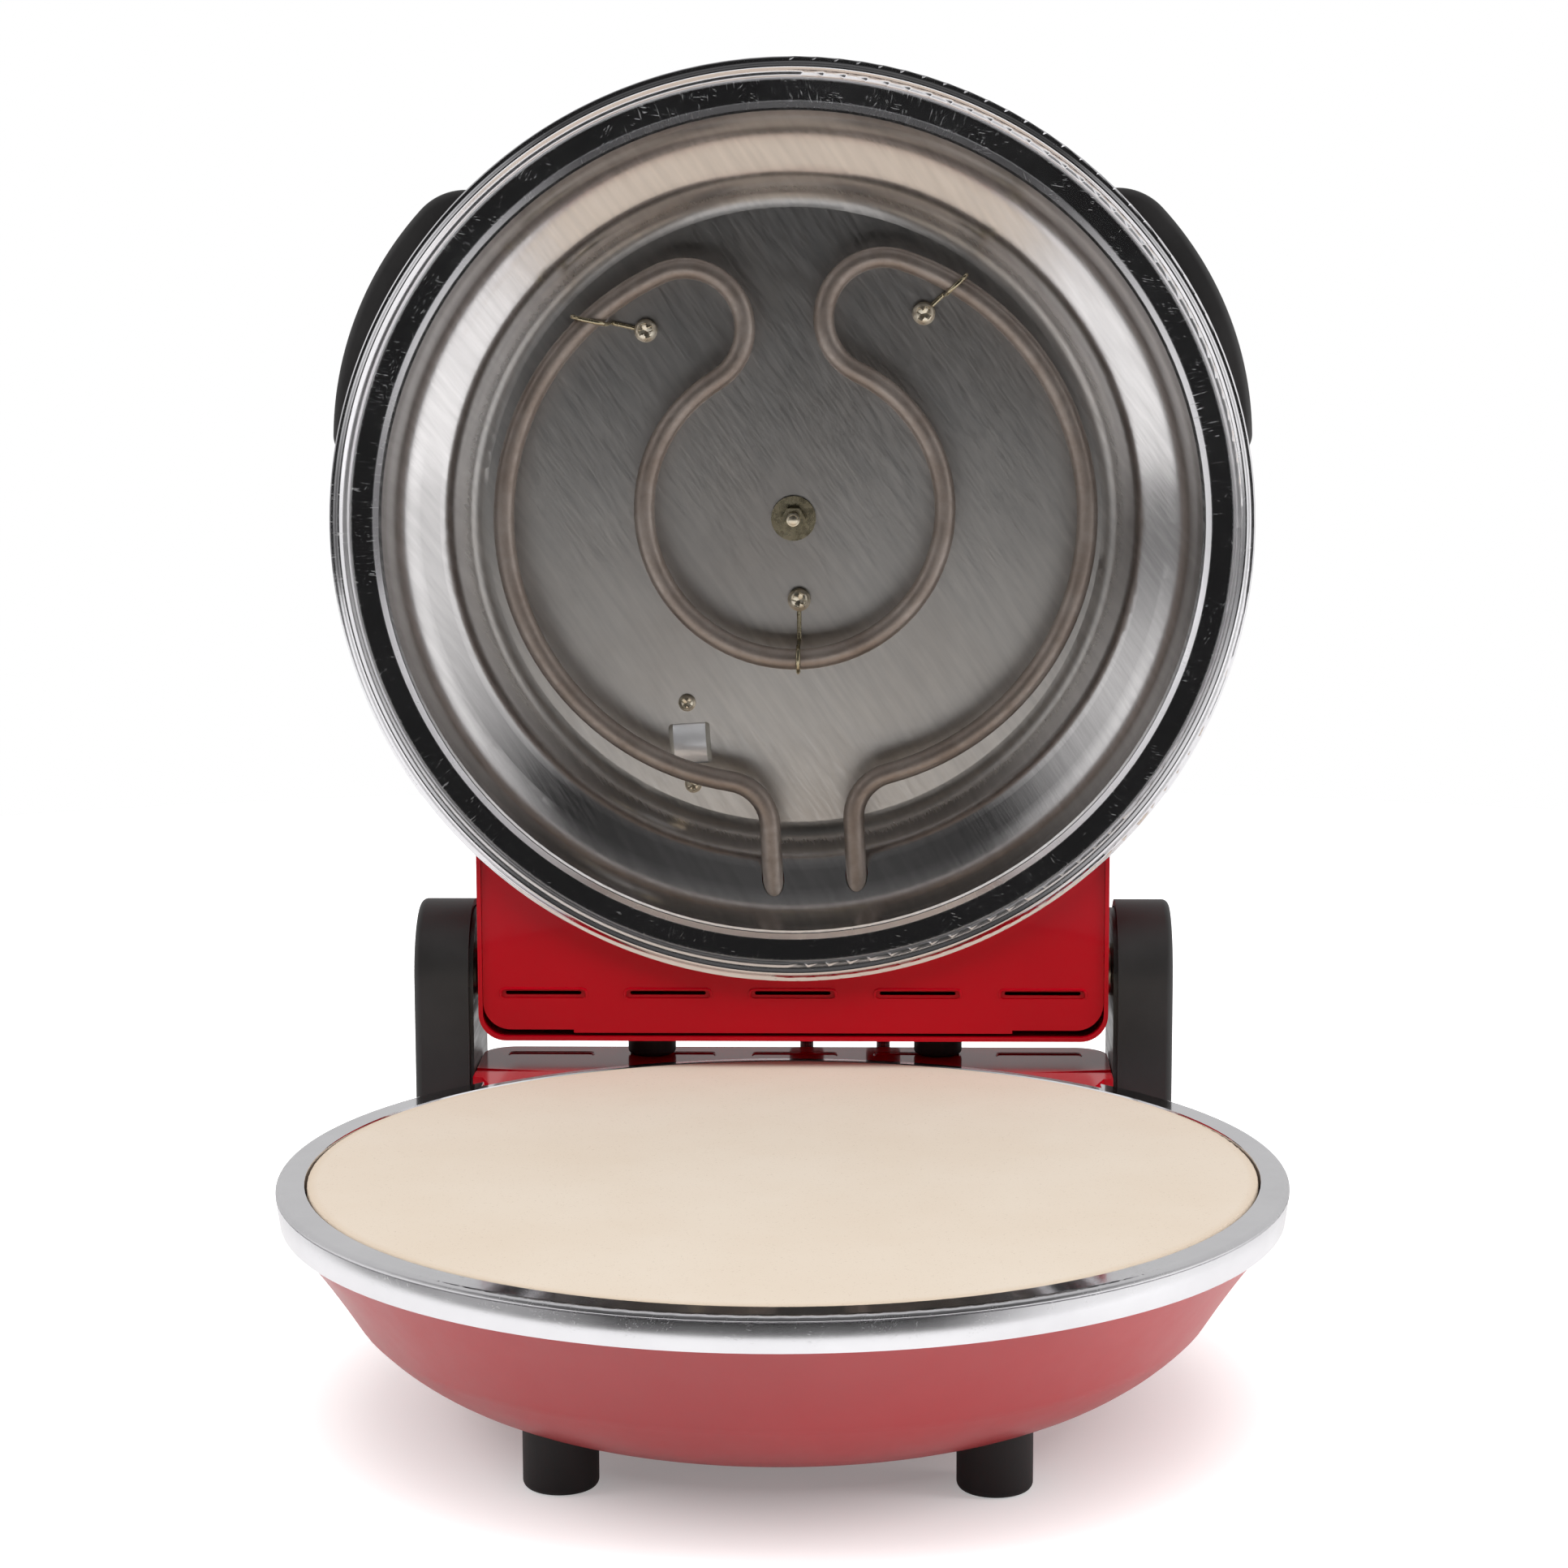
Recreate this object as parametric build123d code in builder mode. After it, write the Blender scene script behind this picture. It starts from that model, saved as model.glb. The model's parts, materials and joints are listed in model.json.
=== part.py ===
from build123d import *
import os
from math import cos, pi, radians, sin, tan

# Electric pizza maker with a round baking stone and a hinged, heated lid.
#
# Millimetres, +Z up, front towards -Y. The lid stands fully open, as at rest.
# Pieces of the lid are drawn in the lid's own frame, whose XY plane is the rim,
# whose +Z points into the dome and whose +Y points to the hinge.

os.makedirs("parts", exist_ok=True)

# ---------------------------------------------------------------------------
# Driving dimensions
# ---------------------------------------------------------------------------

# Layout
BOWL_AXIS_Y = -30.0  # puts the open maker's outline over the origin
HINGE_STAND_OFF = 0.9  # trim ring to hinge axis
HINGE_Z = 117.0
OPEN_ANGLE = 90.0

# Sheet and clearances
SHEET = 1.0  # painted steel
TRIM_SHEET = 0.8  # bright trim
PAN_SHEET = 0.7  # reflector pans
BOX_WALL = 1.6  # hemmed walls of the rear boxes
SEAT_GAP = 0.1  # between pieces that rest on each other along a curve
CLEARANCE = 0.3  # between pieces that pass each other
RUNNING_FIT = 0.05  # radial, on pins and spindles
PRESS_GAP = 0.02  # radial, on plugs and screws

# Bowl
FOOT_HEIGHT = 15.0
FOOT_D = 24.0
FOOT_OFFSET = 68.0  # from the bowl axis, both ways
FOOT_EDGE = 2.5
FOOT_SCREW_D = 4.0
FOOT_SCREW_HEAD_D = 8.0
FOOT_SCREW_HEAD_H = 2.4
FOOT_SCREW_SEAT_Z = 7.0
FOOT_SCREW_LENGTH = 14.0
BOWL_FLOOR_R = 80.0
BOWL_KNUCKLE_R = 80.0
BOWL_KNUCKLE_SWEEP = 47.0
BOWL_WAIST_R = 16.0
BOWL_WAIST_SWEEP = 11.0
BOWL_RIM_INSET = 2.8  # inside the trim ring's edge
BOWL_WALL_HEIGHT = 59.0  # floor to the foot of the upright lip

# Stone and its trim ring
STONE_D = 310.0
STONE_THICKNESS = 12.0
STONE_EDGE = 1.0
STONE_TOP_Z = 84.7
RING_WIDTH = 9.3
RING_BAND_HEIGHT = 11.5
RING_BAND_TAPER = 1.2
RING_CORNER_R = 2.0
RING_CREASE_DEPTH = 0.35
RING_CREASE_DROP = 1.9
RING_STONE_GAP = 0.8
RING_LIP_HEIGHT = 5.5
RING_STRIP_WIDTH = 2.8  # what is left of the ring behind the stone
RING_NOTCH_INSET = 5.4  # inside the base box's side
PAN_CARRIER_WIDTH = 13.3
PAN_CARRIER_T = 1.2

# Lid
LID_LIFT = 3.0  # rim plane of the closed lid above the stone
LID_FLAT_WIDTH = 10.3
LID_BEAD_WIDTH = 7.2
LID_BEAD_DROP = 2.6
LID_BAND_HEIGHT = 8.0
DOME_INSET = 1.1  # inside the lid trim's edge
DOME_STRAIGHT = 12.0
DOME_SHOULDER_R = 72.0
DOME_CROWN_ANGLE = 5.0

# Pans above and below the food, one stamping
PAN_MOUTH_INSET = 1.0
PAN_FLANGE_WIDTH = 10.4
PAN_LIP_R = 26.0
PAN_BELLY_R = 21.0
PAN_FLOOR_R = 8.0
PAN_STEEP = 97.0  # wall headings, in degrees from the radial
PAN_SHALLOW = 147.0
PAN_FOOT = 112.0
PAN_FLAT = 8.0

# Heating elements
TUBE_D = 7.6
ELEMENT_DEPTH = 21.0  # below the pan's mouth
ELEMENT_SHIFT_X = 1.0
ELEMENT_TWIST = -3.0
INNER_BEND_R = 54.5
INNER_BEND_Y = 50.0
INNER_SWEEP = 149.0
INNER_RUN = 4.0
TURN_R = 21.5
TURN_SWEEP = 170.0
OUTER_BEND_R = 97.0
OUTER_SWEEP = 147.0
LEAD_BEND_R = 17.0
LEAD_RUN = 41.0
LEAD_PIN_D = 3.2
LEAD_PIN_LENGTH = 9.0
BUSH_D = 11.6
BUSH_LENGTH = 7.0
BUSH_AT = 6.5  # from the end of the lead to the middle of the bush

# Wire clips
CLIP_WIRE_D = 1.6
CLIP_EYE_R = 3.4
CLIP_SCREWS = [(-53.5, -68.5), (47.5, -74.5), (2.0, 29.8)]
CLIP_HOOKS = [(-72.0, -72.0), (58.5, -84.5), (2.0, 52.0)]  # over the tube's middle
CLIP_HEAD_D = 8.4
CLIP_HEAD_H = 2.8
CLIP_SCREW_D = 4.0
CLIP_SCREW_LENGTH = 9.0

# Centre fixing
STUD_D = 5.0
STUD_TIP = 3.0  # shown beyond the nut
NUT_FLATS = 8.0
NUT_H = 4.0
WASHER_D = 16.4
WASHER_H = 1.2
SPACER_D = 13.0

# Heat sensor
SENSOR_XY = (-38.5, 83.4)
SENSOR_TILT = -4.0
SENSOR_WINDOW = 15.2
SENSOR_STRIP_WIDTH = 12.0
SENSOR_STRIP_LENGTH = 38.0
SENSOR_STRIP_BOW = 3.0
SENSOR_STRIP_T = 0.6
SENSOR_SCREW_PITCH = 30.5
SENSOR_HEAD_D = 6.4
SENSOR_BODY_D = 24.0
SENSOR_BODY_H = 14.0

# Rear boxes
LID_BOX_SIDE_STEP = 1.6  # inside the base box's side
LID_BOX_OVERHANG = 22.0  # hinge axis to the rear wall
LID_BOX_FLOOR = 5.0  # rim plane to the open side of the box
LID_BOX_TOP = 72.0
LID_BOX_CORNER_R = 10.0
LID_BOX_TOP_R = 7.0
LID_COVER_SINK = 1.0
LID_COVER_REAR_GAP = 2.4
LID_COVER_TAB_WIDTH = 160.0
LID_COVER_TAB_DEPTH = 1.2
BASE_BOX_HALF = 116.4
BASE_BOX_OVERHANG = 19.0  # hinge axis to the rear wall
BASE_BOX_FLOOR_Z = 26.0
BASE_BOX_TOP_Z = 83.0
BASE_BOX_CORNER_R = 12.0
FLAP_FOLD_OUTER_IN = 36.0  # from the rear wall
FLAP_FOLD_INNER_IN = (30.9, 41.4)  # from the side and from the rear wall
FLAP_SHOULDER_IN = (3.4, 50.5)
FLAP_NOSE_IN = (6.9, 61.0)
FLAP_DROP_ANGLE = 7.0
WIRE_WINDOW_WIDTH = 80.0
WIRE_WINDOW_HEIGHT = 24.0

# Louvres
LOUVRE_COUNT = 5
LOUVRE_PITCH = 45.5
LOUVRE_LENGTH = 31.4
LOUVRE_WIDTH = 3.8
LOUVRE_DEPTH = 0.8
LOUVRE_SLIT = 1.4
LID_LOUVRE_INSET = 17.6  # from the rear wall
BASE_LOUVRE_INSET = 10.0  # from the rear wall

# Hinge
HINGE_PLATE_T = 1.5
HINGE_PLATE_R = 23.0
HINGE_PLATE_BOTTOM_Z = 42.0
HINGE_PIN_D = 8.0
HINGE_PIN_HEAD_D = 14.0
HINGE_PIN_HEAD_H = 3.0
HINGE_NUT_FLATS = 13.0
HINGE_NUT_H = 5.0
HINGE_WASHER_D = 20.0
POST_R = 26.0
POST_THICKNESS = 20.0
POST_WALL = 2.4
POST_BOTTOM_Z = 40.0
POST_EDGE_R = 2.6
POST_CAP_D = 18.0
POST_CAP_H = 0.9
POST_CAP_PLUG_D = 12.0
POST_CAP_PLUG_L = 5.0
POST_SCREW_ZS = [52.0, 70.0]
POST_SCREW_D = 4.0
POST_SCREW_HEAD_D = 7.6
POST_SCREW_HEAD_H = 2.4
POST_SCREW_LENGTH = 12.0
POST_SCREW_TIP = 0.6  # shown inside the box
POST_BOSS_D = 9.0

# Rubber feet on the lid box, for standing the closed maker on its back
BACK_FOOT_D = 17.8
BACK_FOOT_X = 53.4
BACK_FOOT_DEPTH = 38.0
BACK_FOOT_EDGE = 1.6
BACK_SCREW_SEAT = 3.4  # foot's face to the screw's seat
BACK_SCREW_D = 4.0
BACK_SCREW_HEAD_D = 8.0
BACK_SCREW_HEAD_H = 2.4
BACK_SCREW_LENGTH = 11.0

# Side handles with their controls
POD_ANGLE = 61.5  # from the front, both ways
POD_HALF_SWEEP = 20.0
POD_CURVE_R = 122.0  # outer edge, tighter than the dome
POD_CURVE_SHIFT = 5.3  # of its centre, towards the front
POD_REACH = 9.1  # outwards from the dome
POD_FLOOR = 9.0
POD_TOP = 66.0
POD_FRONT_R = 22.0
POD_REAR_R = 9.0
POD_EDGE_R = 3.0
POD_ROOF = 2.5
POD_CAVITY_FLOOR = 52.0
POD_SCREW_ANGLE = 12.0
POD_SCREW_DEPTH = 28.0
POD_SCREW_D = 4.0
POD_SCREW_HEAD_D = 8.0
POD_SCREW_HEAD_H = 2.4
POD_SCREW_LENGTH = 9.0
POD_SCREW_SEAT_T = 2.0  # plastic under a screw's head
KNOB_INSET = 17.7  # knob's axis inside the pod's edge
KNOB_D = 27.0
KNOB_SKIRT_H = 3.0
KNOB_GRIP_D = 22.0
KNOB_H = 14.0
KNOB_BAR_WIDTH = 7.0
KNOB_DISC_H = 5.0
KNOB_MARK_WIDTH = 1.2
KNOB_MARK_DEPTH = 0.6
KNOB_LIFT = 0.8
SPINDLE_D = 6.0
SPINDLE_IN_KNOB = 9.0
MOVEMENT_INSET = 16.3
MOVEMENT_RADIAL = 12.0
MOVEMENT_WIDTH = 34.0
MOVEMENT_H = 8.0
LAMP_D = 6.0
LAMP_ANGLE = 14.0  # from the knob towards the front
LAMP_PROUD = 1.4
LAMP_BODY_L = 9.0

# Insulation above the lid's pan
PAD_R = 96.0
PAD_THICKNESS = 18.0

# Sleeved cables that link the boxes, and the mains cord's outlet
CABLE_D = 5.0
GLAND_D = 13.0
GLAND_L = 9.0
GLAND_NECK_D = 9.0
GLAND_NECK_L = 4.0
LINK_LID_XS = [4.0, 33.0]
LINK_BASE_XS = [-32.0, 69.0]
LINK_LID_DEPTH = 60.0
LINK_BASE_Z = 58.0
LINK_RUN = 20.5  # straight runs of the cables' route
LINK_DROP_BACK = 15.0
LINK_SAG = 3.0
MAINS_X = -75.0
MAINS_Z = 48.0
MAINS_BORE_D = 7.0
MAINS_GLAND_D = 16.0
MAINS_GLAND_L = 14.0
TERMINAL_LENGTH = 46.0
TERMINAL_WIDTH = 18.0
TERMINAL_H = 14.0
TERMINAL_SCREW_D = 5.0

# ---------------------------------------------------------------------------
# Worked-out sizes and frames
# ---------------------------------------------------------------------------

STONE_R = STONE_D / 2
RING_R = STONE_R + RING_STONE_GAP + RING_WIDTH
HINGE_SETBACK = RING_R + HINGE_STAND_OFF
BOWL_RIM_R = RING_R - BOWL_RIM_INSET
PAN_CARRIER_R = BOWL_RIM_R - PAN_CARRIER_WIDTH
LID_BEAD_INNER_R = RING_R - LID_BEAD_WIDTH
LID_FLAT_INNER_R = LID_BEAD_INNER_R - LID_FLAT_WIDTH
DOME_R = RING_R - DOME_INSET
PAN_MOUTH_R = LID_FLAT_INNER_R - PAN_MOUTH_INSET
PAN_FLANGE_R = PAN_MOUTH_R + PAN_FLANGE_WIDTH
LID_BOX_REACH = HINGE_SETBACK + LID_BOX_OVERHANG
BASE_BOX_REACH = HINGE_SETBACK + BASE_BOX_OVERHANG
LID_BOX_HALF = BASE_BOX_HALF - LID_BOX_SIDE_STEP
LID_LOUVRE_REACH = LID_BOX_REACH - LID_LOUVRE_INSET
BASE_LOUVRE_REACH = BASE_BOX_REACH - BASE_LOUVRE_INSET
POD_R = DOME_R + POD_REACH
KNOB_AT_R = POD_R - KNOB_INSET
MOVEMENT_AT_R = POD_R - MOVEMENT_INSET
POD_SCREW_SEAT_R = DOME_R + POD_SCREW_SEAT_T
RING_NOTCH_HALF = BASE_BOX_HALF - RING_NOTCH_INSET
FLAP_FOLD_OUTER = (BASE_BOX_HALF, BASE_BOX_REACH - FLAP_FOLD_OUTER_IN)
FLAP_FOLD_INNER = (BASE_BOX_HALF - FLAP_FOLD_INNER_IN[0], BASE_BOX_REACH - FLAP_FOLD_INNER_IN[1])
FLAP_SHOULDER = (BASE_BOX_HALF - FLAP_SHOULDER_IN[0], BASE_BOX_REACH - FLAP_SHOULDER_IN[1])
FLAP_NOSE = (BASE_BOX_HALF - FLAP_NOSE_IN[0], BASE_BOX_REACH - FLAP_NOSE_IN[1])
BOWL_FLOOR_Z = FOOT_HEIGHT
BOWL_WALL_TOP_Z = BOWL_FLOOR_Z + BOWL_WALL_HEIGHT
STONE_BOTTOM_Z = STONE_TOP_Z - STONE_THICKNESS
RING_INNER_R = STONE_R + RING_STONE_GAP
RING_STRIP_R = RING_INNER_R + RING_STRIP_WIDTH
RING_BOTTOM_Z = STONE_TOP_Z - RING_BAND_HEIGHT
BOWL_LIP_TOP_Z = STONE_TOP_Z - TRIM_SHEET
BASE_BOX_CEILING_Z = BASE_BOX_TOP_Z - BOX_WALL
LID_RIM_Z = STONE_TOP_Z + LID_LIFT
LID_PAN_MOUTH = LID_BEAD_DROP + TRIM_SHEET
HINGE_Y = BOWL_AXIS_Y + HINGE_SETBACK
HINGE_PLATE_X = BASE_BOX_HALF + CLEARANCE
POST_X = HINGE_PLATE_X + HINGE_PLATE_T
SHOULDER_AXIS_R = DOME_R - DOME_SHOULDER_R
TUBE_R = TUBE_D / 2

BOWL = Plane(origin=(0, BOWL_AXIS_Y, 0))
BASE_PAN = Plane(
    origin=(0, BOWL_AXIS_Y, STONE_BOTTOM_Z), x_dir=(-1, 0, 0), z_dir=(0, 0, -1)
)
HINGE_OPEN = Location((0, HINGE_Y, HINGE_Z), (-OPEN_ANGLE, 0, 0))
LID = Plane(HINGE_OPEN * Location((0, -HINGE_SETBACK, LID_RIM_Z - HINGE_Z)))
BACK_FOOT_H = LID.origin.Z - LID_BOX_REACH - BASE_BOX_TOP_Z - CLEARANCE  # rests there when open


def at(frame, x, y, depth, turn=0):
    """Plane at a place in a frame, turned about the frame's own Z."""
    return Plane(frame.location * Location((x, y, depth), (0, 0, turn)))


def facing(frame, x, y, depth):
    """Plane at a place in a frame, looking back out of it."""
    return Plane(origin=at(frame, x, y, depth).origin, x_dir=frame.x_dir, z_dir=-frame.z_dir)


def section_of(frame):
    """Radial section plane of a frame: x is the radius, y the frame's Z."""
    return Plane(origin=frame.origin, x_dir=frame.x_dir, z_dir=-frame.y_dir)


def axis_of(frame):
    """Axis along a frame's Z."""
    return Axis(frame.origin, frame.z_dir)


def save(part, name):
    """Name a finished piece and write its file."""
    part.label = name
    export_step(part, f"parts/{name}.step")


LID_PAN = at(LID, 0, 0, LID_PAN_MOUTH)

# ---------------------------------------------------------------------------
# Sections that several pieces share
# ---------------------------------------------------------------------------


def bowl_section(inset, top_z):
    """Half section of the space inside the bowl's skin, drawn in by inset."""
    floor_z = BOWL_FLOOR_Z + inset
    rim_r = BOWL_RIM_R - inset
    with BuildSketch(section_of(BOWL)) as section:
        with BuildLine():
            floor = Line((0, floor_z), (BOWL_FLOOR_R, floor_z))
            knuckle = JernArc(floor @ 1, (1, 0), BOWL_KNUCKLE_R - inset, BOWL_KNUCKLE_SWEEP)
            waist = JernArc(knuckle @ 1, knuckle % 1, BOWL_WAIST_R - inset, BOWL_WAIST_SWEEP)
            wall = TangentArc(waist @ 1, (rim_r, BOWL_WALL_TOP_Z), tangent=waist % 1)
            Polyline(wall @ 1, (rim_r, top_z), (0, top_z), floor @ 0)
        make_face()
    return section.sketch


def dome_section(inset, foot):
    """Half section of the space inside the lid's dome, drawn in by inset."""
    wall_r = DOME_R - inset
    shoulder_r = DOME_SHOULDER_R - inset
    lean = radians(DOME_CROWN_ANGLE)
    crown_edge = (
        SHOULDER_AXIS_R + shoulder_r * sin(lean),
        DOME_STRAIGHT + shoulder_r * cos(lean),
    )
    crown_r = SHOULDER_AXIS_R / sin(lean) + shoulder_r
    crown_top = DOME_STRAIGHT - SHOULDER_AXIS_R / tan(lean) + crown_r
    with BuildSketch(section_of(LID)) as section:
        with BuildLine():
            wall = Line((wall_r, foot), (wall_r, DOME_STRAIGHT))
            shoulder = TangentArc(wall @ 1, crown_edge, tangent=(0, 1))
            crown = TangentArc(shoulder @ 1, (0, crown_top), tangent=shoulder % 1)
            Polyline(crown @ 1, (0, foot), (wall_r, foot))
        make_face()
    return section.sketch


def pan_section(frame):
    """Section of a reflector pan: radius against depth below its mouth."""
    steep = radians(PAN_STEEP)
    with BuildSketch(section_of(frame)) as section:
        with BuildLine():
            rims = []
            hubs = []
            for offset in (0, PAN_SHEET):
                flange = Line((PAN_FLANGE_R, offset), (PAN_MOUTH_R + offset, offset))
                lip = JernArc(
                    flange @ 1, (cos(steep), sin(steep)), PAN_LIP_R, PAN_SHALLOW - PAN_STEEP
                )
                belly = Line(lip @ 1, lip @ 1 + PAN_FLAT * (lip % 1))
                waist = JernArc(belly @ 1, belly % 1, PAN_BELLY_R, PAN_FOOT - PAN_SHALLOW)
                foot = JernArc(waist @ 1, waist % 1, PAN_FLOOR_R, 180 - PAN_FOOT)
                floor = Line(foot @ 1, (0, (foot @ 1).Y))
                rims.append(flange @ 0)
                hubs.append(floor @ 1)
            Line(*rims)
            Line(*hubs)
        make_face()
    return section.sketch


def pan_floor_depth():
    """Depth of a pan's flat floor below its mouth, on the food's side."""
    steep, shallow, foot = (radians(a) for a in (PAN_STEEP, PAN_SHALLOW, PAN_FOOT))
    lip = PAN_LIP_R * (cos(steep) - cos(shallow))
    belly = PAN_FLAT * sin(shallow)
    waist = PAN_BELLY_R * (cos(foot) - cos(shallow))
    return lip + belly + waist + PAN_FLOOR_R * (1 + cos(foot))


PAN_DEPTH = pan_floor_depth()
PAN_BACK = PAN_DEPTH + PAN_SHEET


def rod(plane, diameter, length):
    """Add a round bar that stands on a plane, to the part being built."""
    with BuildSketch(plane) as end:
        Circle(diameter / 2)
    extrude(end.sketch, amount=length)


def drill(plane, diameter, depth):
    """Cut a round hole down into a plane, in the part being built."""
    with BuildSketch(plane) as end:
        Circle(diameter / 2)
    extrude(end.sketch, amount=-depth, mode=Mode.SUBTRACT)


def screw(plane, head_d, head_h, shank_d, shank_l, driver_w=1.0):
    """Pan-head cross-recess screw, its head above the plane, its shank below."""
    with BuildPart() as piece:
        rod(plane, head_d, head_h)
        head_rim = piece.faces().sort_by(axis_of(plane))[-1].edges()
        fillet(head_rim, head_h * 0.45)
        with BuildSketch(plane.offset(head_h)) as cross:
            Rectangle(head_d * 0.55, driver_w)
            Rectangle(driver_w, head_d * 0.55)
        extrude(cross.sketch, amount=-head_h * 0.5, mode=Mode.SUBTRACT)
        with BuildSketch(plane) as end:
            Circle(shank_d / 2)
        extrude(end.sketch, amount=-shank_l)
    return piece.part


# ---------------------------------------------------------------------------
# Pans, elements and their small fittings, the same above and below the food
# ---------------------------------------------------------------------------


def element_path(frame):
    """Centreline of a heating element, from one lead's end to the other's."""
    lead_sweep = TURN_SWEEP + OUTER_SWEEP - INNER_SWEEP - 90
    with BuildLine() as route:
        for side in (-1, 1):
            start = (0, INNER_BEND_Y)
            inner = JernArc(start, (side, 0), INNER_BEND_R, -side * INNER_SWEEP)
            run = Line(inner @ 1, inner @ 1 + INNER_RUN * (inner % 1))
            turn = JernArc(run @ 1, run % 1, TURN_R, side * TURN_SWEEP)
            outer = JernArc(turn @ 1, turn % 1, OUTER_BEND_R, side * OUTER_SWEEP)
            bend = JernArc(outer @ 1, outer % 1, LEAD_BEND_R, -side * lead_sweep)
            Line(bend @ 1, bend @ 1 + LEAD_RUN * (bend % 1))
    placed = at(frame, ELEMENT_SHIFT_X, 0, ELEMENT_DEPTH, ELEMENT_TWIST)
    return Wire(route.edges()).moved(placed.location)


def lead_planes(path):
    """Planes across both ends of an element's path, facing out along the leads."""
    return [
        Plane(origin=path @ 0, z_dir=-(path % 0)),
        Plane(origin=path @ 1, z_dir=path % 1),
    ]


def element(path):
    """Tubular heating element."""
    with BuildPart() as piece:
        with BuildSketch(Plane(origin=path @ 0, z_dir=path % 0)):
            Circle(TUBE_R)
        sweep(path=path)
    return piece.part


def element_pins(path):
    """Terminal pins in the ends of an element's leads."""
    with BuildPart() as pieces:
        for lead in lead_planes(path):
            rod(lead, LEAD_PIN_D, LEAD_PIN_LENGTH)
    return pieces.part


def element_bushes(path):
    """Collars that carry the leads behind the wall of a pan."""
    with BuildPart() as pieces:
        for lead in lead_planes(path):
            rod(lead.offset(-BUSH_AT - BUSH_LENGTH / 2), BUSH_D, BUSH_LENGTH)
            drill(lead, TUBE_D + 2 * SEAT_GAP, BUSH_AT + BUSH_LENGTH)
    return pieces.part


def sensor_place(frame, along=0):
    """Plane on a pan's floor at the heat sensor, looking at the food."""
    x, y = SENSOR_XY
    place = at(frame, x, y, PAN_DEPTH, SENSOR_TILT)
    return facing(place, 0, along, 0)


def sensor_screw_places(frame):
    """Planes for the two screws that hold the sensor's strip."""
    return [sensor_place(frame, side * SENSOR_SCREW_PITCH / 2) for side in (-1, 1)]


def reflector(frame, path):
    """Pressed pan behind an element, with its holes."""
    with BuildPart() as piece:
        revolve(pan_section(frame), axis=axis_of(frame))
        for lead in lead_planes(path):
            drill(lead, TUBE_D + 2 * CLEARANCE, LEAD_RUN)
        for x, y in CLIP_SCREWS:
            drill(facing(frame, x, y, PAN_DEPTH), CLIP_SCREW_D + 2 * PRESS_GAP, PAN_BACK)
    return piece.part


def clip(frame, path, screw_at, hook_at):
    """Bent-wire clip with an eye under a screw and a hook over the element."""
    x, y = screw_at
    foot = at(frame, x, y, PAN_DEPTH)
    over_tube = at(frame, x, y, ELEMENT_DEPTH).origin
    hooked = path.closest_points(at(frame, *hook_at, ELEMENT_DEPTH).origin)[0]
    clear = path.closest_points(over_tube)[0] - over_tube
    reach = hooked - over_tube
    square = clear.normalized().dot(reach.normalized())  # 1 where it crosses squarely
    wire_r = CLIP_WIRE_D / 2
    hook_r = TUBE_R + wire_r + SEAT_GAP
    hook_half = (TUBE_R + wire_r) / square + SEAT_GAP
    hook_top = PAN_DEPTH - ELEMENT_DEPTH + hook_r
    side = Plane(
        origin=foot.origin, x_dir=reach, z_dir=reach.normalized().cross(-frame.z_dir)
    )
    near_x = reach.length - hook_half
    with BuildLine() as line:
        FilletPolyline(
            (CLIP_EYE_R, wire_r),
            (near_x, wire_r),
            (near_x, hook_top),
            (reach.length + hook_half, hook_top),
            (reach.length + hook_half, hook_top - hook_r - TUBE_R),
            radius=[CLIP_WIRE_D, hook_r - SEAT_GAP, hook_r - SEAT_GAP],
        )
    bent = Wire(line.edges()).moved(side.location)
    with BuildPart() as piece:
        with BuildSketch(Plane(origin=bent @ 0, z_dir=bent % 0)):
            Circle(wire_r)
        sweep(path=bent)
        eye = facing(frame, x, y, PAN_DEPTH - wire_r)
        add(Solid.make_torus(CLIP_EYE_R, wire_r, eye))
    return piece.part


def clips(frame, path):
    """All the clips of an element."""
    with BuildPart() as pieces:
        for screw_at, hook_at in zip(CLIP_SCREWS, CLIP_HOOKS):
            add(clip(frame, path, screw_at, hook_at))
    return pieces.part


def clip_screws(frame):
    """Screws that hold the clips to a pan."""
    with BuildPart() as pieces:
        for x, y in CLIP_SCREWS:
            seat = facing(frame, x, y, PAN_DEPTH - CLIP_WIRE_D)
            add(screw(seat, CLIP_HEAD_D, CLIP_HEAD_H, CLIP_SCREW_D, CLIP_SCREW_LENGTH))
    return pieces.part


# ---------------------------------------------------------------------------
# Base: bowl, trim, stone and lower heater
# ---------------------------------------------------------------------------

lower_path = element_path(BASE_PAN)
upper_path = element_path(LID_PAN)
foot_places = GridLocations(2 * FOOT_OFFSET, 2 * FOOT_OFFSET, 2, 2)


def wire_window(frame, depth, reach):
    """Opening for the wires between a round shell and the box behind it."""
    with BuildPart() as window:
        with BuildSketch(Plane(at(frame, 0, 0, depth).location * Location((0, 0, 0), (-90, 0, 0)))):
            RectangleRounded(WIRE_WINDOW_WIDTH, WIRE_WINDOW_HEIGHT, WIRE_WINDOW_HEIGHT / 4)
        extrude(amount=reach)
    return window.part


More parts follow.
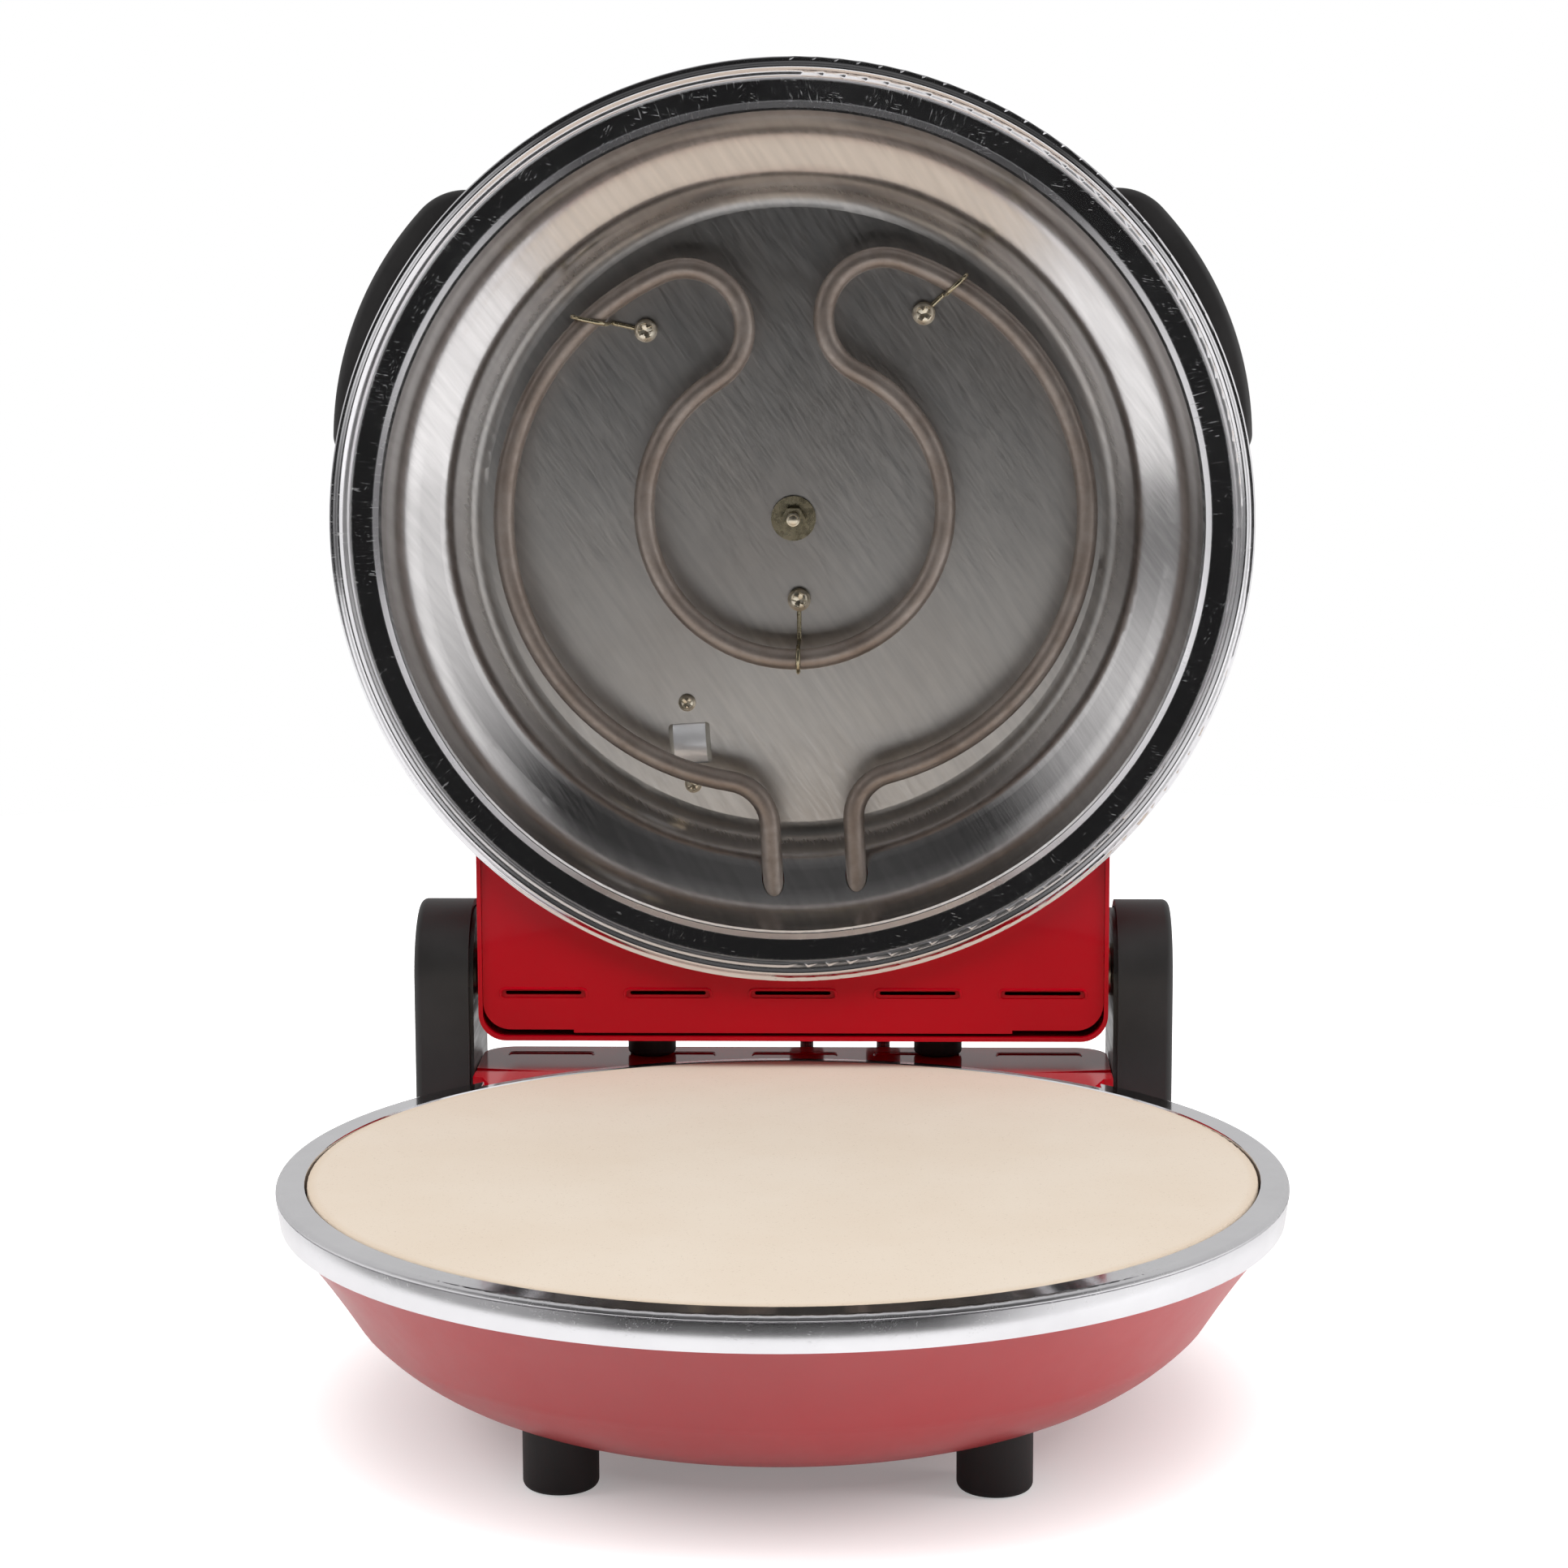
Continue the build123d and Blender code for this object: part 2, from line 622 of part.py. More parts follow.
with BuildPart() as base_bowl:
    revolve(bowl_section(0, BOWL_LIP_TOP_Z), axis=axis_of(BOWL))
    revolve(bowl_section(SHEET, STONE_TOP_Z), axis=axis_of(BOWL), mode=Mode.SUBTRACT)
    with BuildSketch(BOWL.offset(BASE_BOX_CEILING_Z - SEAT_GAP)):
        with Locations((0, HINGE_SETBACK)):
            Rectangle(2 * RING_NOTCH_HALF, 2 * HINGE_SETBACK)
    extrude(amount=BOWL_LIP_TOP_Z, mode=Mode.SUBTRACT)
    add(wire_window(BASE_PAN, ELEMENT_DEPTH, HINGE_SETBACK), mode=Mode.SUBTRACT)
    with BuildSketch(BOWL):
        with foot_places:
            Circle(FOOT_SCREW_D / 2 + PRESS_GAP)
    extrude(amount=STONE_BOTTOM_Z, mode=Mode.SUBTRACT)

with BuildPart() as base_trim_ring:
    with BuildSketch(section_of(BOWL)):
        with BuildLine():
            top = Line((RING_INNER_R, STONE_TOP_Z), (RING_R - RING_CORNER_R, STONE_TOP_Z))
            corner = JernArc(top @ 1, (1, 0), RING_CORNER_R, -90)
            Polyline(
                corner @ 1,
                (RING_R - RING_BAND_TAPER, RING_BOTTOM_Z),
                (RING_R - RING_BAND_TAPER - TRIM_SHEET, RING_BOTTOM_Z),
                (RING_R - TRIM_SHEET, (corner @ 1).Y),
            )
            inner = JernArc((RING_R - TRIM_SHEET, (corner @ 1).Y), (0, 1), RING_CORNER_R - TRIM_SHEET, 90)
            Polyline(
                inner @ 1,
                (RING_INNER_R + TRIM_SHEET, STONE_TOP_Z - TRIM_SHEET),
                (RING_INNER_R + TRIM_SHEET, STONE_TOP_Z - RING_LIP_HEIGHT),
                (RING_INNER_R, STONE_TOP_Z - RING_LIP_HEIGHT),
                top @ 0,
            )
        make_face()
        with Locations((RING_R, STONE_TOP_Z - RING_CREASE_DROP)):
            Circle(RING_CREASE_DEPTH, mode=Mode.SUBTRACT)
    revolve(axis=axis_of(BOWL))
    with BuildSketch(BOWL.offset(RING_BOTTOM_Z)):
        with Locations((0, HINGE_SETBACK)):
            Rectangle(2 * RING_NOTCH_HALF, 2 * HINGE_SETBACK)
        Circle(RING_STRIP_R, mode=Mode.SUBTRACT)
    extrude(amount=RING_BAND_HEIGHT, mode=Mode.SUBTRACT)

with BuildPart() as stone:
    with BuildSketch(BOWL.offset(STONE_BOTTOM_Z)):
        Circle(STONE_R)
    extrude(amount=STONE_THICKNESS)
    fillet(stone.edges(), STONE_EDGE)

with BuildPart() as pan_carrier:
    with BuildSketch(BOWL.offset(STONE_BOTTOM_Z - PAN_SHEET)):
        Circle(BOWL_RIM_R)
        Circle(PAN_CARRIER_R, mode=Mode.SUBTRACT)
    extrude(amount=-PAN_CARRIER_T)
    revolve(bowl_section(SHEET, BOWL_LIP_TOP_Z), axis=axis_of(BOWL), mode=Mode.INTERSECT)

with BuildPart() as feet:
    with BuildSketch(BOWL):
        with foot_places:
            Circle(FOOT_D / 2)
    extrude(amount=BOWL_WALL_TOP_Z - BOWL_FLOOR_Z)
    fillet(feet.edges().group_by(Axis.Z)[0], FOOT_EDGE)
    with BuildSketch(BOWL):
        with foot_places:
            Circle(FOOT_SCREW_HEAD_D / 2 + CLEARANCE)
    extrude(amount=FOOT_SCREW_SEAT_Z, mode=Mode.SUBTRACT)
    with BuildSketch(BOWL):
        with foot_places:
            Circle(FOOT_SCREW_D / 2 + PRESS_GAP)
    extrude(amount=BOWL_WALL_TOP_Z, mode=Mode.SUBTRACT)
    revolve(bowl_section(0, BOWL_LIP_TOP_Z), axis=axis_of(BOWL), mode=Mode.SUBTRACT)

with BuildPart() as foot_screws:
    for place in foot_places.local_locations:
        x, y = place.position.X, place.position.Y
        head = facing(BOWL, x, y, FOOT_SCREW_SEAT_Z)
        add(screw(head, FOOT_SCREW_HEAD_D, FOOT_SCREW_HEAD_H, FOOT_SCREW_D, FOOT_SCREW_LENGTH))

# ---------------------------------------------------------------------------
# Base box behind the bowl
# ---------------------------------------------------------------------------


def base_box_block(inset, floor_z):
    """Solid block of the base box, its sides drawn in by inset."""
    half = BASE_BOX_HALF - inset
    reach = BASE_BOX_REACH - inset
    shoulder_x, shoulder_y = FLAP_SHOULDER
    nose_x, nose_y = FLAP_NOSE
    high_side = [
        (half, reach),
        (half, shoulder_y + inset),
        (shoulder_x - inset, shoulder_y + inset),
        (nose_x - inset, nose_y + inset),
        (nose_x - inset, 0),
    ]
    low_top_z = RING_BOTTOM_Z - CLEARANCE - inset
    with BuildPart() as block:
        with BuildSketch(BOWL.offset(floor_z)) as low:
            Polygon((-half, 0), (half, 0), (half, reach), (-half, reach), align=None)
            fillet(low.vertices().group_by(Axis.Y)[-1], BASE_BOX_CORNER_R - inset)
        extrude(amount=low_top_z - floor_z)
        with BuildSketch(BOWL.offset(floor_z)) as high:
            Polygon(*high_side, *[(-x, y) for x, y in reversed(high_side)], align=None)
            fillet(high.vertices().group_by(Axis.Y)[-1], BASE_BOX_CORNER_R - inset)
        extrude(amount=BASE_BOX_TOP_Z - inset - floor_z)
    return block.part


def flap_cut(drop):
    """What the two folded front corners leave free above them."""
    top_z = BASE_BOX_TOP_Z - drop
    inner = Vector(*FLAP_FOLD_INNER, top_z)
    outer = Vector(*FLAP_FOLD_OUTER, top_z)
    fold = Plane(origin=inner, x_dir=inner - outer, z_dir=(0, 0, 1))
    slope = fold.rotated((-FLAP_DROP_ANGLE, 0, 0))
    shoulder_x, shoulder_y = FLAP_SHOULDER
    far_x = 2 * BASE_BOX_HALF - shoulder_x
    fold_slope = (outer.Y - inner.Y) / (outer.X - inner.X)
    corners = [
        FLAP_FOLD_INNER,
        (far_x, outer.Y + (far_x - outer.X) * fold_slope),
        (far_x, FLAP_NOSE[1]),
        FLAP_NOSE,
    ]
    local = [fold.to_local_coords(Vector(x, y, top_z)) for x, y in corners]
    with BuildPart() as cut:
        with BuildSketch(slope):
            Polygon(*[(point.X, point.Y) for point in local], align=None)
        extrude(amount=BOX_WALL * 4)
        mirror(about=Plane.YZ)
    return cut.part.moved(BOWL.location)


def louvre_row(plane, wall):
    """Row of pressed louvres in a sheet below a plane, in the part being built."""
    with BuildSketch(plane) as hollows:
        with GridLocations(LOUVRE_PITCH, LOUVRE_PITCH, LOUVRE_COUNT, 1):
            SlotOverall(LOUVRE_LENGTH, LOUVRE_WIDTH)
    extrude(hollows.sketch, amount=-LOUVRE_DEPTH, mode=Mode.SUBTRACT)
    with BuildSketch(plane) as slits:
        with GridLocations(LOUVRE_PITCH, LOUVRE_PITCH, LOUVRE_COUNT, 1):
            SlotOverall(LOUVRE_LENGTH - LOUVRE_WIDTH, LOUVRE_SLIT)
    extrude(slits.sketch, amount=-wall, mode=Mode.SUBTRACT)


def base_rear(x, z):
    """Plane on the rear wall of the base box, facing back."""
    return Plane(origin=(x, BOWL_AXIS_Y + BASE_BOX_REACH, z), z_dir=(0, 1, 0))


def base_side(side, stand_off, z):
    """Plane beside the base box under the hinge axis, facing outwards."""
    x = side * (BASE_BOX_HALF + stand_off)
    return Plane(origin=(x, HINGE_Y, z), x_dir=(0, side, 0), z_dir=(side, 0, 0))


def base_box_shape(inset, floor_z):
    """Block of the base box with its front corners cut to flaps."""
    with BuildPart() as shape:
        add(base_box_block(inset, floor_z))
        add(flap_cut(inset), mode=Mode.SUBTRACT)
    return shape.part


with BuildPart() as base_box:
    add(base_box_shape(0, BASE_BOX_FLOOR_Z))
    add(base_box_shape(BOX_WALL, 0), mode=Mode.SUBTRACT)
    revolve(bowl_section(-SEAT_GAP, BASE_BOX_CEILING_Z), axis=axis_of(BOWL), mode=Mode.SUBTRACT)
    with BuildSketch(BOWL.offset(BASE_BOX_CEILING_Z)):
        Circle(RING_STRIP_R + CLEARANCE)
    extrude(amount=BOX_WALL, mode=Mode.SUBTRACT)
    louvre_row(at(BOWL, 0, BASE_LOUVRE_REACH, BASE_BOX_TOP_Z), BOX_WALL)
    drill(base_rear(MAINS_X, MAINS_Z), GLAND_NECK_D + 2 * PRESS_GAP, 2 * BOX_WALL)
    for x in LINK_BASE_XS:
        drill(base_rear(x, LINK_BASE_Z), GLAND_NECK_D + 2 * PRESS_GAP, 2 * BOX_WALL)
    for side in (-1, 1):
        for z in POST_SCREW_ZS:
            drill(base_side(side, 0, z), POST_SCREW_D + 2 * PRESS_GAP, 2 * BOX_WALL)

with BuildPart() as base_box_cover:
    inner_half = BASE_BOX_HALF - BOX_WALL - SEAT_GAP
    inner_reach = BASE_BOX_REACH - BOX_WALL - SEAT_GAP
    with BuildSketch(BOWL.offset(BASE_BOX_FLOOR_Z)) as plate:
        Polygon(
            (-inner_half, 0), (inner_half, 0), (inner_half, inner_reach), (-inner_half, inner_reach),
            align=None,
        )
        fillet(plate.vertices().group_by(Axis.Y)[-1], BASE_BOX_CORNER_R - BOX_WALL - SEAT_GAP)
    extrude(amount=BOX_WALL)
    revolve(bowl_section(-SEAT_GAP, BASE_BOX_CEILING_Z), axis=axis_of(BOWL), mode=Mode.SUBTRACT)


def gland(plane, diameter, length):
    """Strain relief that stands on a wall, its neck pushed through it."""
    with BuildPart() as piece:
        rod(plane, diameter, length)
        fillet(piece.faces().sort_by(axis_of(plane))[-1].edges(), length / 6)
        with BuildSketch(plane) as neck:
            Circle(GLAND_NECK_D / 2)
        extrude(neck.sketch, amount=-GLAND_NECK_L)
    return piece.part


with BuildPart() as base_link_glands:
    for x in LINK_BASE_XS:
        add(gland(base_rear(x, LINK_BASE_Z), GLAND_D, GLAND_L))

with BuildPart() as mains_gland:
    add(gland(base_rear(MAINS_X, MAINS_Z), MAINS_GLAND_D, MAINS_GLAND_L))
    drill(base_rear(MAINS_X, MAINS_Z).offset(MAINS_GLAND_L), MAINS_BORE_D, MAINS_GLAND_L + GLAND_NECK_L)

with BuildPart() as terminal_block:
    seat = at(BOWL, MAINS_X, BASE_BOX_REACH - TERMINAL_WIDTH * 1.5, BASE_BOX_FLOOR_Z + BOX_WALL)
    with BuildSketch(seat):
        RectangleRounded(TERMINAL_LENGTH, TERMINAL_WIDTH, 1)
    extrude(amount=TERMINAL_H)
    with BuildSketch(seat.offset(TERMINAL_H)):
        with GridLocations(TERMINAL_LENGTH / 4, TERMINAL_WIDTH / 2, 4, 2):
            Circle(TERMINAL_SCREW_D / 2)
    extrude(amount=-TERMINAL_H / 2, mode=Mode.SUBTRACT)

# ---------------------------------------------------------------------------
# Hinge posts
# ---------------------------------------------------------------------------


def post_profile(plane, radius, bottom_z):
    """Outline of a hinge post on a side plane that is centred on the pivot."""
    drop = HINGE_Z - bottom_z
    with BuildSketch(plane) as profile:
        Circle(radius)
        with Locations((0, -drop / 2)):
            Rectangle(2 * radius, drop)
    return profile.sketch


def hinge_plate(side):
    """Steel plate bolted beside the base box, with the bore for the hinge pin."""
    face = base_side(side, CLEARANCE, HINGE_Z)
    with BuildPart() as plate:
        extrude(post_profile(face, HINGE_PLATE_R, HINGE_PLATE_BOTTOM_Z), amount=HINGE_PLATE_T)
        drill(face.offset(HINGE_PLATE_T), HINGE_PIN_D + 2 * RUNNING_FIT, HINGE_PLATE_T)
        for z in POST_SCREW_ZS:
            seat = base_side(side, CLEARANCE + HINGE_PLATE_T, z)
            drill(seat, POST_SCREW_D + 2 * PRESS_GAP, HINGE_PLATE_T)
    return plate.part


def post_screw_seat(side, z):
    """Plane under the head of a post screw."""
    depth = POST_SCREW_LENGTH - HINGE_PLATE_T - CLEARANCE - BOX_WALL - POST_SCREW_TIP
    return base_side(side, CLEARANCE + HINGE_PLATE_T + depth, z)


def hinge_cover(side):
    """Moulded cover over a hinge plate, open towards it."""
    inner = base_side(side, CLEARANCE + HINGE_PLATE_T, HINGE_Z)
    outer = inner.offset(POST_THICKNESS)
    with BuildPart() as cover:
        extrude(post_profile(inner, POST_R, POST_BOTTOM_Z), amount=POST_THICKNESS)
        outer_rim = cover.faces().sort_by(axis_of(inner))[-1].edges()
        fillet(outer_rim, POST_EDGE_R)
        hollow = post_profile(inner, POST_R - POST_WALL, POST_BOTTOM_Z + POST_WALL)
        extrude(hollow, amount=POST_THICKNESS - POST_WALL, mode=Mode.SUBTRACT)
        drill(outer, POST_CAP_PLUG_D + 2 * PRESS_GAP, POST_WALL)
        for z in POST_SCREW_ZS:
            seat = post_screw_seat(side, z)
            foot = base_side(side, CLEARANCE + HINGE_PLATE_T, z)
            mouth = foot.offset(POST_THICKNESS)
            rod(foot, POST_BOSS_D + 2 * POST_WALL, POST_THICKNESS - POST_WALL)
            drill(mouth, POST_BOSS_D, (mouth.origin - seat.origin).length)
            drill(seat, POST_SCREW_D + 2 * PRESS_GAP, POST_SCREW_LENGTH)
    return cover.part


with BuildPart() as hinge_caps:
    for side in (-1, 1):
        face = base_side(side, CLEARANCE + HINGE_PLATE_T + POST_THICKNESS, HINGE_Z)
        rod(face, POST_CAP_D, POST_CAP_H)
        rod(face.offset(-POST_CAP_PLUG_L), POST_CAP_PLUG_D, POST_CAP_PLUG_L)

with BuildPart() as post_screws:
    for side in (-1, 1):
        for z in POST_SCREW_ZS:
            seat = post_screw_seat(side, z)
            add(screw(seat, POST_SCREW_HEAD_D, POST_SCREW_HEAD_H, POST_SCREW_D, POST_SCREW_LENGTH))

# ---------------------------------------------------------------------------
# Lid: dome, trim, pan and heater
# ---------------------------------------------------------------------------

pod_turns = {side: -90 + side * POD_ANGLE for side in (-1, 1)}


def pod_plane(side, swing, radius, depth):
    """Plane on a circle about the dome, at an angle from the middle of a pod."""
    turn = pod_turns[side] + side * swing
    spoke = at(LID, 0, 0, depth, turn)
    return at(spoke, radius, 0, 0)


def pod_screw_seats(side):
    """Planes under the heads of a pod's screws, facing away from the dome."""
    seats = []
    for swing in (-POD_SCREW_ANGLE, POD_SCREW_ANGLE):
        place = pod_plane(side, swing, POD_SCREW_SEAT_R, POD_SCREW_DEPTH)
        seats.append(Plane(origin=place.origin, x_dir=place.z_dir, z_dir=place.x_dir))
    return seats


with BuildPart() as lid_dome:
    revolve(dome_section(0, LID_BEAD_DROP), axis=axis_of(LID))
    revolve(dome_section(SHEET, 0), axis=axis_of(LID), mode=Mode.SUBTRACT)
    add(wire_window(LID, LID_PAN_MOUTH + ELEMENT_DEPTH, HINGE_SETBACK), mode=Mode.SUBTRACT)
    for side in (-1, 1):
        for seat in pod_screw_seats(side):
            drill(seat, POD_SCREW_D + 2 * PRESS_GAP, POD_SCREW_LENGTH)

with BuildPart() as lid_trim_ring:
    with BuildSketch(section_of(LID)):
        with BuildLine():
            Polyline(
                (LID_BEAD_INNER_R, LID_PAN_MOUTH),
                (LID_FLAT_INNER_R, LID_PAN_MOUTH),
                (LID_FLAT_INNER_R, LID_BEAD_DROP),
                (LID_BEAD_INNER_R, LID_BEAD_DROP),
            )
            rise = JernArc((LID_BEAD_INNER_R, LID_BEAD_DROP), (0, -1), LID_BEAD_DROP, 90)
            crest = Line(rise @ 1, (RING_R - LID_BEAD_DROP, 0))
            roll = JernArc(crest @ 1, (1, 0), LID_BEAD_DROP, 90)
            Polyline(
                roll @ 1,
                (RING_R, LID_BAND_HEIGHT),
                (RING_R - TRIM_SHEET, LID_BAND_HEIGHT),
                (RING_R - TRIM_SHEET, LID_BEAD_DROP),
            )
            back = JernArc((RING_R - TRIM_SHEET, LID_BEAD_DROP), (0, -1), LID_BEAD_DROP - TRIM_SHEET, -90)
            Polyline(
                back @ 1,
                (LID_BEAD_INNER_R + LID_BEAD_DROP, TRIM_SHEET),
                (LID_BEAD_INNER_R + TRIM_SHEET, LID_BEAD_DROP),
                (LID_BEAD_INNER_R + TRIM_SHEET, LID_PAN_MOUTH),
                (LID_BEAD_INNER_R, LID_PAN_MOUTH),
            )
        make_face()
    revolve(axis=axis_of(LID))

with BuildPart() as lid_insulation:
    with BuildSketch(LID_PAN.offset(PAN_BACK)):
        Circle(PAD_R)
    extrude(amount=PAD_THICKNESS)
    drill(facing(LID_PAN, 0, 0, PAN_BACK), SPACER_D + 2 * SEAT_GAP, PAD_THICKNESS)
    drill(facing(LID_PAN, *SENSOR_XY, PAN_BACK), SENSOR_BODY_D + 2 * SEAT_GAP, PAD_THICKNESS)
    strip_room = sensor_place(LID_PAN).offset(-PAN_SHEET)
    with BuildSketch(strip_room):
        Rectangle(SENSOR_STRIP_WIDTH + 2 * SEAT_GAP, SENSOR_STRIP_LENGTH + 2 * SEAT_GAP)
    extrude(amount=-SENSOR_STRIP_T - SEAT_GAP, mode=Mode.SUBTRACT)
    for seat in sensor_screw_places(LID_PAN):
        drill(seat, CLIP_SCREW_D + 2 * SEAT_GAP, CLIP_SCREW_LENGTH + SEAT_GAP)
    for x, y in CLIP_SCREWS:
        drill(facing(LID_PAN, x, y, PAN_BACK), CLIP_SCREW_D + 2 * SEAT_GAP, CLIP_SCREW_LENGTH)

with BuildPart() as centre_spacer:
    with BuildSketch(LID_PAN.offset(PAN_BACK)):
        Circle(SPACER_D / 2)
        Circle(STUD_D / 2 + SEAT_GAP, mode=Mode.SUBTRACT)
    extrude(amount=DOME_R)
    revolve(dome_section(SHEET, 0), axis=axis_of(LID), mode=Mode.INTERSECT)

with BuildPart() as centre_stud:
    with BuildSketch(LID_PAN.offset(PAN_DEPTH - WASHER_H - NUT_H - STUD_TIP)):
        Circle(STUD_D / 2)
    extrude(amount=DOME_R)
    revolve(dome_section(SHEET, 0), axis=axis_of(LID), mode=Mode.INTERSECT)
    fillet(centre_stud.faces().sort_by(axis_of(LID))[0].edges(), STUD_D / 8)

with BuildPart() as centre_washer:
    with BuildSketch(LID_PAN.offset(PAN_DEPTH)):
        Circle(WASHER_D / 2)
        Circle(STUD_D / 2 + PRESS_GAP, mode=Mode.SUBTRACT)
    extrude(amount=-WASHER_H)

with BuildPart() as centre_nut:
    with BuildSketch(LID_PAN.offset(PAN_DEPTH - WASHER_H)):
        RegularPolygon(NUT_FLATS / 2, 6, major_radius=False)
        Circle(STUD_D / 2 + PRESS_GAP, mode=Mode.SUBTRACT)
    extrude(amount=-NUT_H)

with BuildPart() as lid_reflector:
    add(reflector(LID_PAN, upper_path))
    drill(facing(LID_PAN, 0, 0, PAN_DEPTH), STUD_D + 2 * SEAT_GAP, PAN_BACK)
    with BuildSketch(sensor_place(LID_PAN)):
        RectangleRounded(SENSOR_WINDOW, SENSOR_WINDOW, 1.5)
    extrude(amount=-PAN_SHEET, mode=Mode.SUBTRACT)
    for seat in sensor_screw_places(LID_PAN):
        drill(seat, CLIP_SCREW_D + 2 * PRESS_GAP, PAN_SHEET)

with BuildPart() as sensor_strip:
    middle = sensor_place(LID_PAN)
    side_view = Plane(origin=middle.origin, x_dir=middle.y_dir, z_dir=middle.x_dir)
    end_x = SENSOR_STRIP_LENGTH / 2
    bow_x = SENSOR_WINDOW / 2 - SEAT_GAP
    with BuildSketch(side_view):
        with BuildLine():
            for face in (-PAN_SHEET - SENSOR_STRIP_T, -PAN_SHEET):
                left = Line((-end_x, face), (-bow_x, face))
                rise = ThreePointArc(left @ 1, (0, face + SENSOR_STRIP_BOW), (bow_x, face))
                Line(rise @ 1, (end_x, face))
            for side in (-1, 1):
                Line((side * end_x, -PAN_SHEET - SENSOR_STRIP_T), (side * end_x, -PAN_SHEET))
        make_face()
    extrude(amount=SENSOR_STRIP_WIDTH / 2, both=True)
    for seat in sensor_screw_places(LID_PAN):
        drill(seat, CLIP_SCREW_D + 2 * PRESS_GAP, PAN_SHEET + SENSOR_STRIP_T)

with BuildPart() as sensor_screws:
    for seat in sensor_screw_places(LID_PAN):
        add(screw(seat, SENSOR_HEAD_D, CLIP_HEAD_H, CLIP_SCREW_D, CLIP_SCREW_LENGTH))

with BuildPart() as sensor_body:
    with BuildSketch(at(LID_PAN, *SENSOR_XY, PAN_BACK + SENSOR_STRIP_T)):
        Circle(SENSOR_BODY_D / 2)
    extrude(amount=SENSOR_BODY_H)

# ---------------------------------------------------------------------------
# Lid box behind the dome
# ---------------------------------------------------------------------------


def lid_box_block(inset, floor):
    """Solid block of the lid box, its sides drawn in by inset."""
    half = LID_BOX_HALF - inset
    reach = LID_BOX_REACH - inset
    with BuildPart() as block:
        with BuildSketch(LID.offset(floor)) as plan:
            Polygon((-half, 0), (half, 0), (half, reach), (-half, reach), align=None)
            fillet(plan.vertices().group_by(Axis.Y)[-1], LID_BOX_CORNER_R - inset)
        extrude(amount=LID_BOX_TOP - inset - floor)
        fillet(block.faces().sort_by(axis_of(LID))[-1].edges(), LID_BOX_TOP_R - inset)
    return block.part


def lid_rear(x, depth):
    """Plane on the rear wall of the lid box, facing away from the dome."""
    return Plane(origin=at(LID, x, LID_BOX_REACH, depth).origin, x_dir=LID.x_dir, z_dir=LID.y_dir)


def hinge_face(side, x):
    """Plane across the hinge axis at a distance from the middle, facing outwards."""
    return Plane(origin=(side * x, HINGE_Y, HINGE_Z), x_dir=(0, side, 0), z_dir=(side, 0, 0))


with BuildPart() as lid_box:
    add(lid_box_block(0, LID_BOX_FLOOR))
    add(lid_box_block(BOX_WALL, 0), mode=Mode.SUBTRACT)
    revolve(dome_section(-SEAT_GAP, 0), axis=axis_of(LID), mode=Mode.SUBTRACT)
    with BuildSketch(LID):
        Circle(RING_R + SEAT_GAP)
    extrude(amount=LID_BAND_HEIGHT + SEAT_GAP, mode=Mode.SUBTRACT)
    for side in (-1, 1):
        drill(hinge_face(side, LID_BOX_HALF), HINGE_PIN_D + 2 * PRESS_GAP, 2 * BOX_WALL)
        seat = lid_rear(side * BACK_FOOT_X, BACK_FOOT_DEPTH)
        drill(seat, BACK_SCREW_D + 2 * PRESS_GAP, 2 * BOX_WALL)
    for x in LINK_LID_XS:
        drill(lid_rear(x, LINK_LID_DEPTH), GLAND_NECK_D + 2 * PRESS_GAP, 2 * BOX_WALL)

with BuildPart() as lid_box_cover:
    half = LID_BOX_HALF - BOX_WALL - SEAT_GAP
    reach = LID_BOX_REACH - BOX_WALL - LID_COVER_REAR_GAP
    with BuildSketch(LID.offset(LID_BOX_FLOOR + LID_COVER_SINK)) as plate:
        Polygon((-half, 0), (half, 0), (half, reach), (-half, reach), align=None)
        fillet(plate.vertices().group_by(Axis.Y)[-1], LID_BOX_CORNER_R)
        with Locations((0, reach)):
            Rectangle(LID_COVER_TAB_WIDTH, 2 * LID_COVER_TAB_DEPTH)
        Circle(RING_R + SEAT_GAP, mode=Mode.SUBTRACT)
    extrude(amount=BOX_WALL)
    face = facing(LID, 0, LID_LOUVRE_REACH, LID_BOX_FLOOR + LID_COVER_SINK)
    louvre_row(face, BOX_WALL)

with BuildPart() as hinge_pins:
    for side in (-1, 1):
        tip = POST_X + HINGE_NUT_H + CLEARANCE + 2 * POST_SCREW_TIP
        inner = hinge_face(side, LID_BOX_HALF - BOX_WALL - HINGE_PIN_HEAD_H)
        rod(inner, HINGE_PIN_HEAD_D, HINGE_PIN_HEAD_H)
        rod(inner, HINGE_PIN_D, tip - (LID_BOX_HALF - BOX_WALL - HINGE_PIN_HEAD_H))

with BuildPart() as hinge_nuts:
    for side in (-1, 1):
        with BuildSketch(hinge_face(side, POST_X + CLEARANCE)):
            RegularPolygon(HINGE_NUT_FLATS / 2, 6, major_radius=False)
            Circle(HINGE_PIN_D / 2 + PRESS_GAP, mode=Mode.SUBTRACT)
        extrude(amount=HINGE_NUT_H)

with BuildPart() as hinge_washers:
    for side in (-1, 1):
        with BuildSketch(hinge_face(side, LID_BOX_HALF)):
            Circle(HINGE_WASHER_D / 2)
            Circle(HINGE_PIN_D / 2 + PRESS_GAP, mode=Mode.SUBTRACT)
        extrude(amount=HINGE_PLATE_X - LID_BOX_HALF - CLEARANCE)

